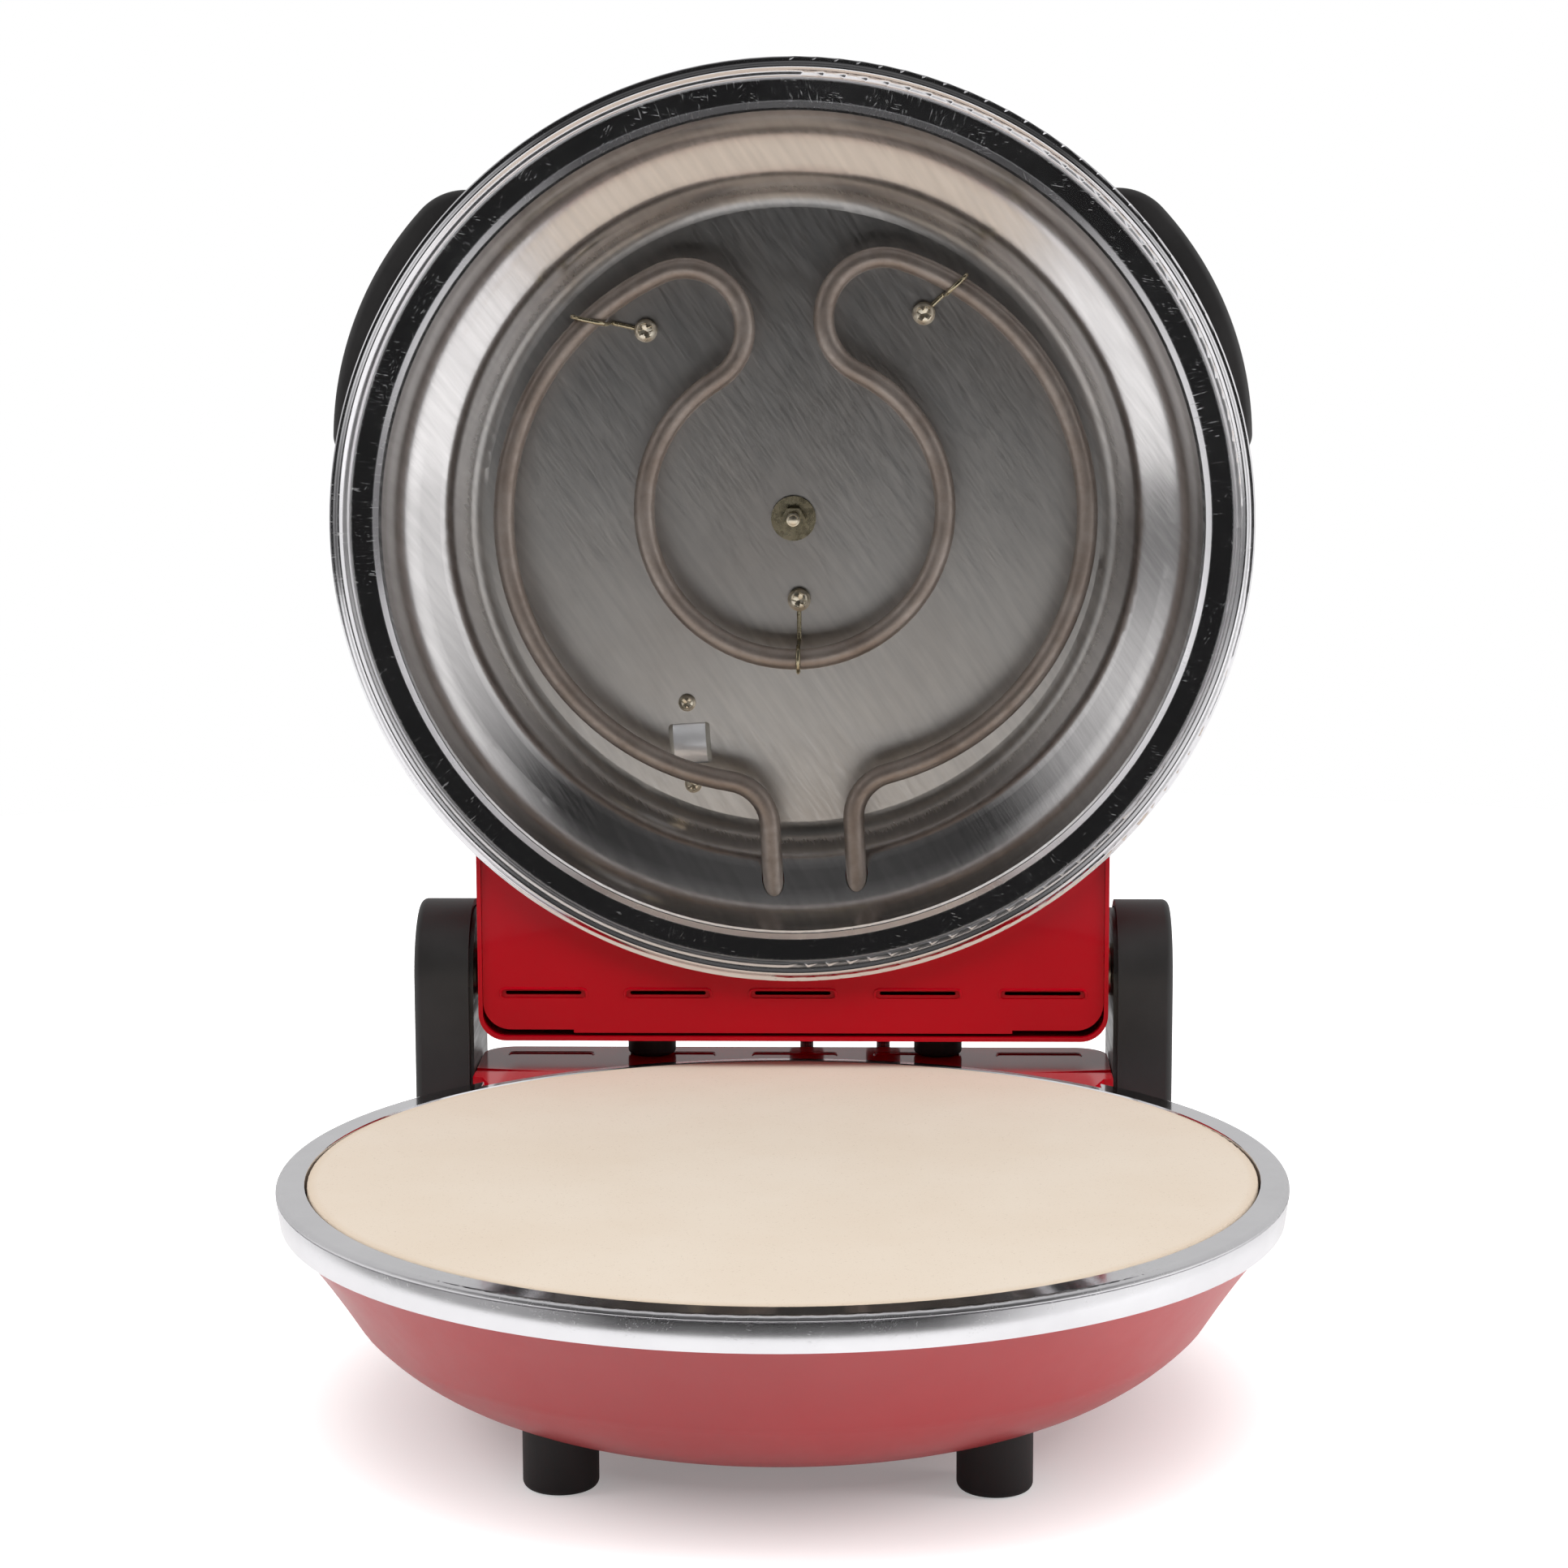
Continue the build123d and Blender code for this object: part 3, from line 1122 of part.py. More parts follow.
with BuildPart() as storage_feet:
    for side in (-1, 1):
        wall = lid_rear(side * BACK_FOOT_X, BACK_FOOT_DEPTH)
        rod(wall, BACK_FOOT_D, BACK_FOOT_H)
    fillet(storage_feet.faces().group_by(Axis.Z)[0].edges(), BACK_FOOT_EDGE)
    for side in (-1, 1):
        wall = lid_rear(side * BACK_FOOT_X, BACK_FOOT_DEPTH)
        drill(wall.offset(BACK_FOOT_H), BACK_SCREW_HEAD_D + 2 * SEAT_GAP, BACK_SCREW_SEAT)
        drill(wall.offset(BACK_FOOT_H), BACK_SCREW_D + 2 * PRESS_GAP, BACK_FOOT_H)

with BuildPart() as storage_foot_screws:
    for side in (-1, 1):
        seat = lid_rear(side * BACK_FOOT_X, BACK_FOOT_DEPTH).offset(BACK_FOOT_H - BACK_SCREW_SEAT)
        add(screw(seat, BACK_SCREW_HEAD_D, BACK_SCREW_HEAD_H, BACK_SCREW_D, BACK_SCREW_LENGTH))

with BuildPart() as lid_link_glands:
    for x in LINK_LID_XS:
        add(gland(lid_rear(x, LINK_LID_DEPTH), GLAND_D, GLAND_L))

# ---------------------------------------------------------------------------
# Side handles and their controls
# ---------------------------------------------------------------------------


def knob_place(side, depth, swing=0):
    """Plane on a pod above the circle of the controls."""
    return pod_plane(side, swing, KNOB_AT_R, depth)


def pod(side):
    """Hollow side handle that hugs the dome and carries a control."""
    spoke = at(LID, 0, 0, POD_FLOOR, pod_turns[side])
    sweep_x = 2 * POD_R * cos(radians(POD_HALF_SWEEP))
    sweep_y = 2 * POD_R * sin(radians(POD_HALF_SWEEP))
    with BuildPart() as piece:
        with BuildSketch(spoke) as plan:
            with Locations((POD_R - POD_CURVE_R, -side * POD_CURVE_SHIFT)):
                Circle(POD_CURVE_R)
            Polygon((0, 0), (sweep_x, -sweep_y), (sweep_x, sweep_y), align=None, mode=Mode.INTERSECT)
            Circle(SHOULDER_AXIS_R, mode=Mode.SUBTRACT)
            ends = plan.vertices().sort_by(Axis.Y)
            front, rear = (ends[0], ends[-1]) if side > 0 else (ends[-1], ends[0])
            fillet(front, POD_FRONT_R)
            ends = plan.vertices().sort_by(Axis.Y)
            fillet(ends[-1] if side > 0 else ends[0], POD_REAR_R)
        extrude(amount=POD_TOP - POD_FLOOR)
        faces = piece.faces().sort_by(axis_of(LID))
        rims = faces[0].edges() + faces[-1].edges()
        inner_x = SHOULDER_AXIS_R * 1.1
        fillet(rims.filter_by(lambda rim: spoke.to_local_coords(rim.center()).X > inner_x), POD_EDGE_R)
        revolve(dome_section(-SEAT_GAP, 0), axis=axis_of(LID), mode=Mode.SUBTRACT)
        with BuildSketch(at(spoke, 0, 0, POD_TOP - POD_ROOF - POD_FLOOR)):
            with Locations(((MOVEMENT_AT_R + MOVEMENT_RADIAL / 2 + CLEARANCE) / 2, 0)):
                Rectangle(MOVEMENT_AT_R + MOVEMENT_RADIAL / 2 + CLEARANCE, MOVEMENT_WIDTH + 2 * CLEARANCE)
        extrude(amount=POD_CAVITY_FLOOR + POD_ROOF - POD_TOP, mode=Mode.SUBTRACT)
        drill(knob_place(side, POD_TOP), SPINDLE_D + 2 * RUNNING_FIT, POD_ROOF)
        for seat in pod_screw_seats(side):
            mouth = seat.offset(POD_R - POD_SCREW_SEAT_R + POD_EDGE_R)
            drill(mouth, POD_SCREW_HEAD_D + 2 * CLEARANCE, POD_R - POD_SCREW_SEAT_R + POD_EDGE_R)
            drill(seat, POD_SCREW_D + 2 * PRESS_GAP, POD_SCREW_LENGTH)
        if side > 0:
            lamp = knob_place(side, POD_TOP, -LAMP_ANGLE)
            drill(lamp, LAMP_D + 2 * PRESS_GAP, LAMP_BODY_L)
    return piece.part


def pod_screws(side):
    """Screws of one handle."""
    with BuildPart() as pieces:
        for seat in pod_screw_seats(side):
            add(screw(seat, POD_SCREW_HEAD_D, POD_SCREW_HEAD_H, POD_SCREW_D, POD_SCREW_LENGTH))
    return pieces.part


def movement(side):
    """Body of the timer or thermostat under a pod's roof."""
    roof = at(LID, 0, 0, POD_TOP - POD_ROOF, pod_turns[side])
    with BuildPart() as piece:
        with BuildSketch(at(roof, MOVEMENT_AT_R, 0, 0)):
            RectangleRounded(MOVEMENT_RADIAL, MOVEMENT_WIDTH, 2)
        extrude(amount=-MOVEMENT_H)
        drill(knob_place(side, POD_TOP - POD_ROOF), SPINDLE_D + 2 * RUNNING_FIT, MOVEMENT_H / 2)
    return piece.part


def spindle(side):
    """Shaft that a knob turns."""
    with BuildPart() as piece:
        foot = knob_place(side, POD_TOP - POD_ROOF - MOVEMENT_H / 2 + CLEARANCE)
        rod(foot, SPINDLE_D, MOVEMENT_H / 2 - CLEARANCE + POD_ROOF + KNOB_LIFT + SPINDLE_IN_KNOB)
    return piece.part


def knob(side):
    """Control knob: a skirted disc with a grip bar and a pointer line."""
    foot = knob_place(side, POD_TOP + KNOB_LIFT)
    with BuildPart() as piece:
        rod(foot, KNOB_D, KNOB_SKIRT_H)
        chamfer(piece.faces().sort_by(axis_of(foot))[-1].edges(), KNOB_SKIRT_H / 3)
        rod(foot, KNOB_GRIP_D, KNOB_DISC_H)
        with BuildSketch(foot):
            Circle(KNOB_GRIP_D / 2)
            Rectangle(KNOB_GRIP_D, KNOB_BAR_WIDTH, mode=Mode.INTERSECT)
        extrude(amount=KNOB_H)
        top = piece.faces().sort_by(axis_of(foot))[-1]
        chamfer(top.edges(), KNOB_BAR_WIDTH / 7)
        with BuildSketch(at(foot, KNOB_GRIP_D / 3, 0, KNOB_H)):
            Rectangle(KNOB_GRIP_D / 2, KNOB_MARK_WIDTH)
        extrude(amount=-KNOB_MARK_DEPTH, mode=Mode.SUBTRACT)
        drill(facing(foot, 0, 0, 0), SPINDLE_D + 2 * PRESS_GAP, SPINDLE_IN_KNOB + SEAT_GAP)
    return piece.part


with BuildPart() as pilot_lens:
    roof = knob_place(1, POD_TOP, -LAMP_ANGLE)
    rod(roof.offset(-LAMP_BODY_L), LAMP_D, LAMP_BODY_L + LAMP_PROUD)
    fillet(pilot_lens.faces().sort_by(axis_of(LID))[-1].edges(), LAMP_PROUD * 0.8)

# ---------------------------------------------------------------------------
# Cables between the two boxes
# ---------------------------------------------------------------------------


def link_cable(lid_x, base_x):
    """Sleeved cable that hangs in a loop from the lid box to the base box."""
    start = lid_rear(lid_x, LINK_LID_DEPTH).offset(GLAND_L).origin
    end = base_rear(base_x, LINK_BASE_Z).offset(GLAND_L).origin
    span = base_x - lid_x
    bend_y = start.Y + LINK_DROP_BACK
    far_y = bend_y + LINK_RUN
    crest_y = far_y + abs(span) / 2 * tan(radians(30))
    low_z = start.Z - LINK_RUN - LINK_DROP_BACK
    knots = [
        start,
        (lid_x, start.Y, start.Z - LINK_RUN),
        (lid_x, bend_y, low_z),
        (lid_x, far_y, low_z - LINK_SAG),
        (lid_x + span / 2, crest_y, low_z - LINK_SAG),
        (base_x, far_y, low_z),
        (base_x, (far_y + end.Y) / 2, LINK_BASE_Z),
        end,
    ]
    knots = [Vector(knot) for knot in knots]
    runs = [second - first for first, second in zip(knots, knots[1:])]
    bends = []
    for first, second in zip(runs, runs[1:]):
        turn = radians(first.get_angle(second))
        bends.append(0.45 * min(first.length, second.length) / tan(turn / 2))
    with BuildLine() as route:
        FilletPolyline(*knots, radius=bends)
    path = Wire(route.edges())
    with BuildPart() as piece:
        with BuildSketch(Plane(origin=path @ 0, z_dir=path % 0)):
            Circle(CABLE_D / 2)
        sweep(path=path)
    expected = path.length * pi * CABLE_D**2 / 4
    print("cable length", round(path.length, 1), "bends", [round(bend, 1) for bend in bends])
    print("volume", round(piece.part.volume, 1), "section times length", round(expected, 1))
    return piece.part


# ---------------------------------------------------------------------------
# Files
# ---------------------------------------------------------------------------

pieces = {
    "base_bowl": base_bowl.part,
    "base_trim_ring": base_trim_ring.part,
    "stone": stone.part,
    "pan_carrier": pan_carrier.part,
    "base_reflector": reflector(BASE_PAN, lower_path),
    "lower_element": element(lower_path),
    "lower_element_pins": element_pins(lower_path),
    "lower_element_bushes": element_bushes(lower_path),
    "lower_clips": clips(BASE_PAN, lower_path),
    "lower_clip_screws": clip_screws(BASE_PAN),
    "feet": feet.part,
    "foot_screws": foot_screws.part,
    "base_box": base_box.part,
    "base_box_cover": base_box_cover.part,
    "base_link_glands": base_link_glands.part,
    "mains_gland": mains_gland.part,
    "terminal_block": terminal_block.part,
    "hinge_plate_left": hinge_plate(-1),
    "hinge_plate_right": hinge_plate(1),
    "hinge_cover_left": hinge_cover(-1),
    "hinge_cover_right": hinge_cover(1),
    "hinge_caps": hinge_caps.part,
    "post_screws": post_screws.part,
    "lid_dome": lid_dome.part,
    "lid_trim_ring": lid_trim_ring.part,
    "lid_reflector": lid_reflector.part,
    "lid_insulation": lid_insulation.part,
    "upper_element": element(upper_path),
    "upper_element_pins": element_pins(upper_path),
    "upper_element_bushes": element_bushes(upper_path),
    "upper_clips": clips(LID_PAN, upper_path),
    "upper_clip_screws": clip_screws(LID_PAN),
    "centre_spacer": centre_spacer.part,
    "centre_stud": centre_stud.part,
    "centre_washer": centre_washer.part,
    "centre_nut": centre_nut.part,
    "sensor_strip": sensor_strip.part,
    "sensor_screws": sensor_screws.part,
    "sensor_body": sensor_body.part,
    "lid_box": lid_box.part,
    "lid_box_cover": lid_box_cover.part,
    "hinge_pins": hinge_pins.part,
    "hinge_nuts": hinge_nuts.part,
    "hinge_washers": hinge_washers.part,
    "storage_feet": storage_feet.part,
    "storage_foot_screws": storage_foot_screws.part,
    "lid_link_glands": lid_link_glands.part,
    "pod_left": pod(-1),
    "pod_right": pod(1),
    "pod_screws_left": pod_screws(-1),
    "pod_screws_right": pod_screws(1),
    "timer_movement": movement(-1),
    "thermostat_movement": movement(1),
    "timer_spindle": spindle(-1),
    "thermostat_spindle": spindle(1),
    "timer_knob": knob(-1),
    "thermostat_knob": knob(1),
    "pilot_lens": pilot_lens.part,
    "link_cable_left": link_cable(LINK_LID_XS[0], LINK_BASE_XS[0]),
    "link_cable_right": link_cable(LINK_LID_XS[1], LINK_BASE_XS[1]),
}
for name, part in pieces.items():
    save(part, name)
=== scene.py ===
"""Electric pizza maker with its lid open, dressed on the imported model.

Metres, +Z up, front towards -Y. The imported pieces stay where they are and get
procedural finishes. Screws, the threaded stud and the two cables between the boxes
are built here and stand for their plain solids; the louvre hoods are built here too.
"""

import json
import logging
from dataclasses import dataclass, field
from enum import Enum
from math import cos, pi, radians, sin

import bmesh
import bpy
from mathutils import Matrix, Vector


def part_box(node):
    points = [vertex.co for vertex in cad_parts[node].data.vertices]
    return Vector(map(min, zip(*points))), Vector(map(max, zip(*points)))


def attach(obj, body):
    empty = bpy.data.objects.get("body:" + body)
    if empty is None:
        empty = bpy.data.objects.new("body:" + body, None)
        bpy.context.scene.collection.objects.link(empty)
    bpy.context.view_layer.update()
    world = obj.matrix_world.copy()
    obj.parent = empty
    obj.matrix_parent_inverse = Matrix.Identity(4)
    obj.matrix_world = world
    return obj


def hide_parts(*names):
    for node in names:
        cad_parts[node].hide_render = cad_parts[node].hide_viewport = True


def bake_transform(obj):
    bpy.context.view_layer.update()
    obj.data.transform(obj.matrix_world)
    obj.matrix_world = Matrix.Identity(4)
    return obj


logging.basicConfig(level=logging.INFO, format="%(levelname)s %(message)s")
log = logging.getLogger("pizza_maker")

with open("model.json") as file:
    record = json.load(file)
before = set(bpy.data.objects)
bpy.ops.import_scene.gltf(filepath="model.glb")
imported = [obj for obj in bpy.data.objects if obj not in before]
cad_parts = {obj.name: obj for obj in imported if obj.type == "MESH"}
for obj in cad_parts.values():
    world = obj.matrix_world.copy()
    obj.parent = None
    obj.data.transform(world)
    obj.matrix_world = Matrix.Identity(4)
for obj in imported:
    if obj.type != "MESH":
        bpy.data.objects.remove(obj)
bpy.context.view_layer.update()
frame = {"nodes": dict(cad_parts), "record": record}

BOWL_AXIS = Vector((0.0, -0.030, 0.0))
LID_CENTRE = Vector((0.0, 0.1067, 0.283))
MM = 0.001


# ---------------------------------------------------------------------------
# Node helpers
# ---------------------------------------------------------------------------


class Graph:
    """Adds and links nodes in one node tree."""

    def __init__(self, tree: bpy.types.NodeTree) -> None:
        self.tree = tree

    def add(self, kind: str, props: dict | None = None, **inputs) -> bpy.types.Node:
        """Add a node.

        Args:
            kind: Node type identifier.
            props: Attributes to set on the node.
            inputs: Values or sockets by input name, with _ for a space and
                i0, i1 for an input by its number.

        Returns:
            The new node.
        """
        node = self.tree.nodes.new(kind)
        for key, value in (props or {}).items():
            setattr(node, key, value)
        for key, value in inputs.items():
            by_number = key[0] == "i" and key[1:].isdigit()
            socket = node.inputs[int(key[1:]) if by_number else key.replace("_", " ")]
            if isinstance(value, bpy.types.NodeSocket):
                self.tree.links.new(value, socket)
            else:
                socket.default_value = value
        return node

    def math(self, operation: str, first, second=0.0, clamp: bool = False) -> bpy.types.NodeSocket:
        """Return the result socket of a Math node."""
        node = self.add("ShaderNodeMath", {"operation": operation, "use_clamp": clamp}, i0=first, i1=second)
        return node.outputs[0]

    def vector(self, operation: str, first, second=(0.0, 0.0, 0.0)) -> bpy.types.NodeSocket:
        """Return the result socket of a Vector Math node."""
        node = self.add("ShaderNodeVectorMath", {"operation": operation}, i0=first, i1=second)
        return node.outputs["Value" if operation in ("LENGTH", "DOT_PRODUCT") else "Vector"]

    def noise(self, coords, scale: float, detail: float = 3.0, rough: float = 0.5) -> bpy.types.NodeSocket:
        """Return the value socket of a noise texture."""
        node = self.add("ShaderNodeTexNoise", None, Vector=coords, Scale=scale, Detail=detail, Roughness=rough)
        return node.outputs["Fac"]

    def ramp(self, value, stops: list[tuple[float, tuple[float, ...]]]) -> bpy.types.NodeSocket:
        """Return the colour socket of a colour ramp with these stops."""
        node = self.add("ShaderNodeValToRGB", None, Fac=value)
        elements = node.color_ramp.elements
        while len(elements) < len(stops):
            elements.new(0.5)
        for element, (place, colour) in zip(elements, stops):
            element.position = place
            element.color = (*colour, 1.0)
        return node.outputs["Color"]

    def span(self, value, low: float, high: float, out_low: float, out_high: float) -> bpy.types.NodeSocket:
        """Return a value carried from one range to another and clamped."""
        node = self.add("ShaderNodeMapRange", None, Value=value)
        node.inputs["From Min"].default_value = low
        node.inputs["From Max"].default_value = high
        node.inputs["To Min"].default_value = out_low
        node.inputs["To Max"].default_value = out_high
        return node.outputs["Result"]

    def mix(self, factor, first, second) -> bpy.types.NodeSocket:
        """Return the colour between two colours."""
        node = self.add("ShaderNodeMix", {"data_type": "RGBA"}, i0=factor, i6=first, i7=second)
        return node.outputs[2]


def new_group(name: str, inputs: dict[str, float | None], outputs: list[str]) -> tuple[Graph, dict, dict]:
    """Start a shader group.

    Args:
        name: Name of the group.
        inputs: Input names with their defaults; None makes a vector input.
        outputs: Names of the value outputs.

    Returns:
        The graph, the group's input sockets and its output sockets by name.
    """
    tree = bpy.data.node_groups.new(name, "ShaderNodeTree")
    for label, default in inputs.items():
        kind = "NodeSocketVector" if default is None else "NodeSocketFloat"
        socket = tree.interface.new_socket(label, in_out="INPUT", socket_type=kind)
        if default is not None:
            socket.default_value = default
    for label in outputs:
        tree.interface.new_socket(label, in_out="OUTPUT", socket_type="NodeSocketFloat")
    graph = Graph(tree)
    start = graph.add("NodeGroupInput")
    end = graph.add("NodeGroupOutput")
    return graph, {k: start.outputs[k] for k in inputs}, {k: end.inputs[k] for k in outputs}


class Effects:
    """Shader groups that several finishes share."""

    def __init__(self) -> None:
        self.streaks = self._streaks()
        self.grain = self._grain()
        self.scratches = self._scratches()
        self.lathe = self._lathe()

    @staticmethod
    def _streaks() -> bpy.types.NodeTree:
        """Straight brushing along the second axis of the given coordinates."""
        graph, given, out = new_group("brush_streaks", {"Vector": None, "Lines": 900.0}, ["Height", "Tone"])
        aside = graph.vector("ADD", given["Vector"], (0.0137, 0.0071, 0.0043))
        fine = graph.vector("MULTIPLY", aside, (1.0, 0.07, 1.0))
        broad = graph.vector("MULTIPLY", aside, (1.0, 0.09, 1.0))
        node = graph.add("ShaderNodeTexNoise", None, Vector=fine, Scale=given["Lines"], Detail=2.0)
        graph.tree.links.new(node.outputs["Fac"], out["Height"])
        tone = graph.noise(broad, 420.0, 3.0, 0.55)
        graph.tree.links.new(tone, out["Tone"])
        return graph.tree

    @staticmethod
    def _grain() -> bpy.types.NodeTree:
        """Fine moulded grain with slow patches of wear."""
        graph, given, out = new_group("moulded_grain", {"Vector": None, "Scale": 900.0}, ["Height", "Patch"])
        cells = graph.add("ShaderNodeTexVoronoi", {"feature": "SMOOTH_F1"}, Vector=given["Vector"], Scale=given["Scale"])
        fine = graph.noise(given["Vector"], 2200.0, 2.0)
        height = graph.math("ADD", graph.math("MULTIPLY", cells.outputs["Distance"], 0.7), graph.math("MULTIPLY", fine, 0.3))
        graph.tree.links.new(height, out["Height"])
        graph.tree.links.new(graph.noise(given["Vector"], 22.0, 4.0, 0.6), out["Patch"])
        return graph.tree

    @staticmethod
    def _scratches() -> bpy.types.NodeTree:
        """Short fine scratches that lie several ways."""
        graph, given, out = new_group("fine_scratches", {"Vector": None, "Density": 0.5}, ["Mask"])
        total = None
        for number, turn in enumerate((0.3, 1.4, 2.5)):
            turned = graph.add("ShaderNodeVectorRotate", {"rotation_type": "Y_AXIS"}, Vector=given["Vector"], Angle=turn)
            thin = graph.vector("MULTIPLY", turned.outputs["Vector"], (1.0, 1.0, 0.10))
            lines = graph.noise(thin, 2600.0 + 400.0 * number, 1.0)
            patch = graph.noise(given["Vector"], 70.0 + 17.0 * number, 3.0)
            line = graph.span(lines, 0.66, 0.74, 0.0, 1.0)
            spot = graph.span(patch, 0.50, 0.66, 0.0, 1.0)
            mask = graph.math("MULTIPLY", line, spot)
            total = mask if total is None else graph.math("MAXIMUM", total, mask)
        graph.tree.links.new(graph.math("MULTIPLY", total, given["Density"]), out["Mask"])
        return graph.tree

    @staticmethod
    def _lathe() -> bpy.types.NodeTree:
        """Concentric turning marks about the axis of the given radius."""
        graph, given, out = new_group("turning_marks", {"Radius": 0.0, "Lines": 2400.0}, ["Height"])
        line = graph.add("ShaderNodeCombineXYZ", None, X=given["Radius"])
        node = graph.add("ShaderNodeTexNoise", None, Vector=line.outputs[0], Scale=given["Lines"], Detail=2.0)
        graph.tree.links.new(node.outputs["Fac"], out["Height"])
        return graph.tree


EFFECTS = Effects()


class Coat(Enum):
    """How an enamel is finished."""

    SATIN = "satin"
    GLOSS = "gloss"


class Finish:
    """Common start of every finish: one material with object coordinates."""

    def start(self, name: str) -> tuple[bpy.types.Material, Graph, bpy.types.Node, bpy.types.NodeSocket]:
        """Make the material, its shader and the object coordinates."""
        material = bpy.data.materials.new(name)
        material.use_nodes = True
        material.node_tree.nodes.clear()
        graph = Graph(material.node_tree)
        shader = graph.add("ShaderNodeBsdfPrincipled")
        output = graph.add("ShaderNodeOutputMaterial")
        graph.tree.links.new(shader.outputs[0], output.inputs["Surface"])
        coords = graph.add("ShaderNodeTexCoord").outputs["Object"]
        return material, graph, shader, coords

    @staticmethod
    def effect(graph: Graph, tree: bpy.types.NodeTree, **inputs) -> bpy.types.Node:
        """Add a shared effect to a material."""
        node = graph.add("ShaderNodeGroup", {"node_tree": tree})
        for key, value in inputs.items():
            if isinstance(value, bpy.types.NodeSocket):
                graph.tree.links.new(value, node.inputs[key])
            else:
                node.inputs[key].default_value = value
        return node

    @staticmethod
    def bump(graph: Graph, shader: bpy.types.Node, height, strength: float, distance: float, after=None):
        """Link a bump to the shader's normal and return its socket."""
        node = graph.add("ShaderNodeBump", None, Height=height, Strength=strength, Distance=distance)
        if after is not None:
            graph.tree.links.new(after, node.inputs["Normal"])
        graph.tree.links.new(node.outputs[0], shader.inputs["Normal"])
        return node.outputs[0]


@dataclass(frozen=True)
class Enamel(Finish):
    """Red enamel on steel, with orange peel and light dust."""

    name: str
    colour: tuple[float, float, float]
    coat: Coat
    roughness: float
    peel: float

    def build(self) -> bpy.types.Material:
        """Build the material."""
        material, graph, shader, coords = self.start(self.name)
        patch = graph.noise(coords, 9.0, 3.0)
        deep = tuple(c * 0.82 for c in self.colour)
        colour = graph.ramp(patch, [(0.3, deep), (0.7, self.colour)])
        graph.tree.links.new(colour, shader.inputs["Base Color"])
        smear = graph.noise(coords, 34.0, 4.0, 0.6)
        rough = graph.span(smear, 0.3, 0.7, self.roughness * 0.85, self.roughness * 1.2)
        graph.tree.links.new(rough, shader.inputs["Roughness"])
        gloss = self.coat is Coat.GLOSS
        shader.inputs["Coat Weight"].default_value = 0.10 if gloss else 0.5
        shader.inputs["Coat Roughness"].default_value = 0.05 if gloss else 0.30
        shader.inputs["Specular IOR Level"].default_value = 0.12 if gloss else 0.6
        self.bump(graph, shader, graph.noise(coords, 420.0, 2.0), self.peel, 0.0002)
        return material


@dataclass(frozen=True)
class BrightTrim(Finish):
    """Spun bright trim with turning marks, fine scratches and smears."""

    name: str
    axis_point: Vector
    axis: str

    def pressed(self, graph: Graph, local, radius):
        """Return the height of the pressing in metres, or None where the sheet is plain."""
        return None

    def wear(self, graph: Graph, local, radius, scratch):
        """Return the mask of the wear that lies over the scratches."""
        return scratch

    def soften(self, graph: Graph, radius, rough):
        """Return the roughness where the pressing has dulled the sheet."""
        return rough

    def build(self) -> bpy.types.Material:
        """Build the material."""
        material, graph, shader, coords = self.start(self.name)
        shader.inputs["Metallic"].default_value = 1.0
        local = graph.vector("SUBTRACT", coords, tuple(self.axis_point))
        flat = (1.0, 0.0, 1.0) if self.axis == "Y" else (1.0, 1.0, 0.0)
        radius = graph.vector("LENGTH", graph.vector("MULTIPLY", local, flat))
        marks = self.effect(graph, EFFECTS.lathe, Radius=radius).outputs["Height"]
        scratch = self.effect(graph, EFFECTS.scratches, Vector=local, Density=0.45).outputs["Mask"]
        scratch = self.wear(graph, local, radius, scratch)
        smear = graph.noise(coords, 18.0, 5.0, 0.65)
        base = graph.ramp(smear, [(0.25, (0.72, 0.71, 0.73)), (0.75, (0.84, 0.83, 0.85))])
        graph.tree.links.new(graph.mix(graph.math("MULTIPLY", scratch, 0.6), base, (1.0, 1.0, 1.0, 1.0)), shader.inputs["Base Color"])
        rough = graph.math("ADD", graph.span(smear, 0.3, 0.7, 0.05, 0.10), graph.math("MULTIPLY", scratch, 0.35))
        rough = self.soften(graph, radius, rough)
        graph.tree.links.new(rough, shader.inputs["Roughness"])
        first = self.bump(graph, shader, marks, 0.05, 0.00005)
        second = self.bump(graph, shader, scratch, 0.25, 0.00006, after=first)
        height = self.pressed(graph, local, radius)
        if height is not None:
            self.bump(graph, shader, height, 1.0, 1.0, after=second)
        return material


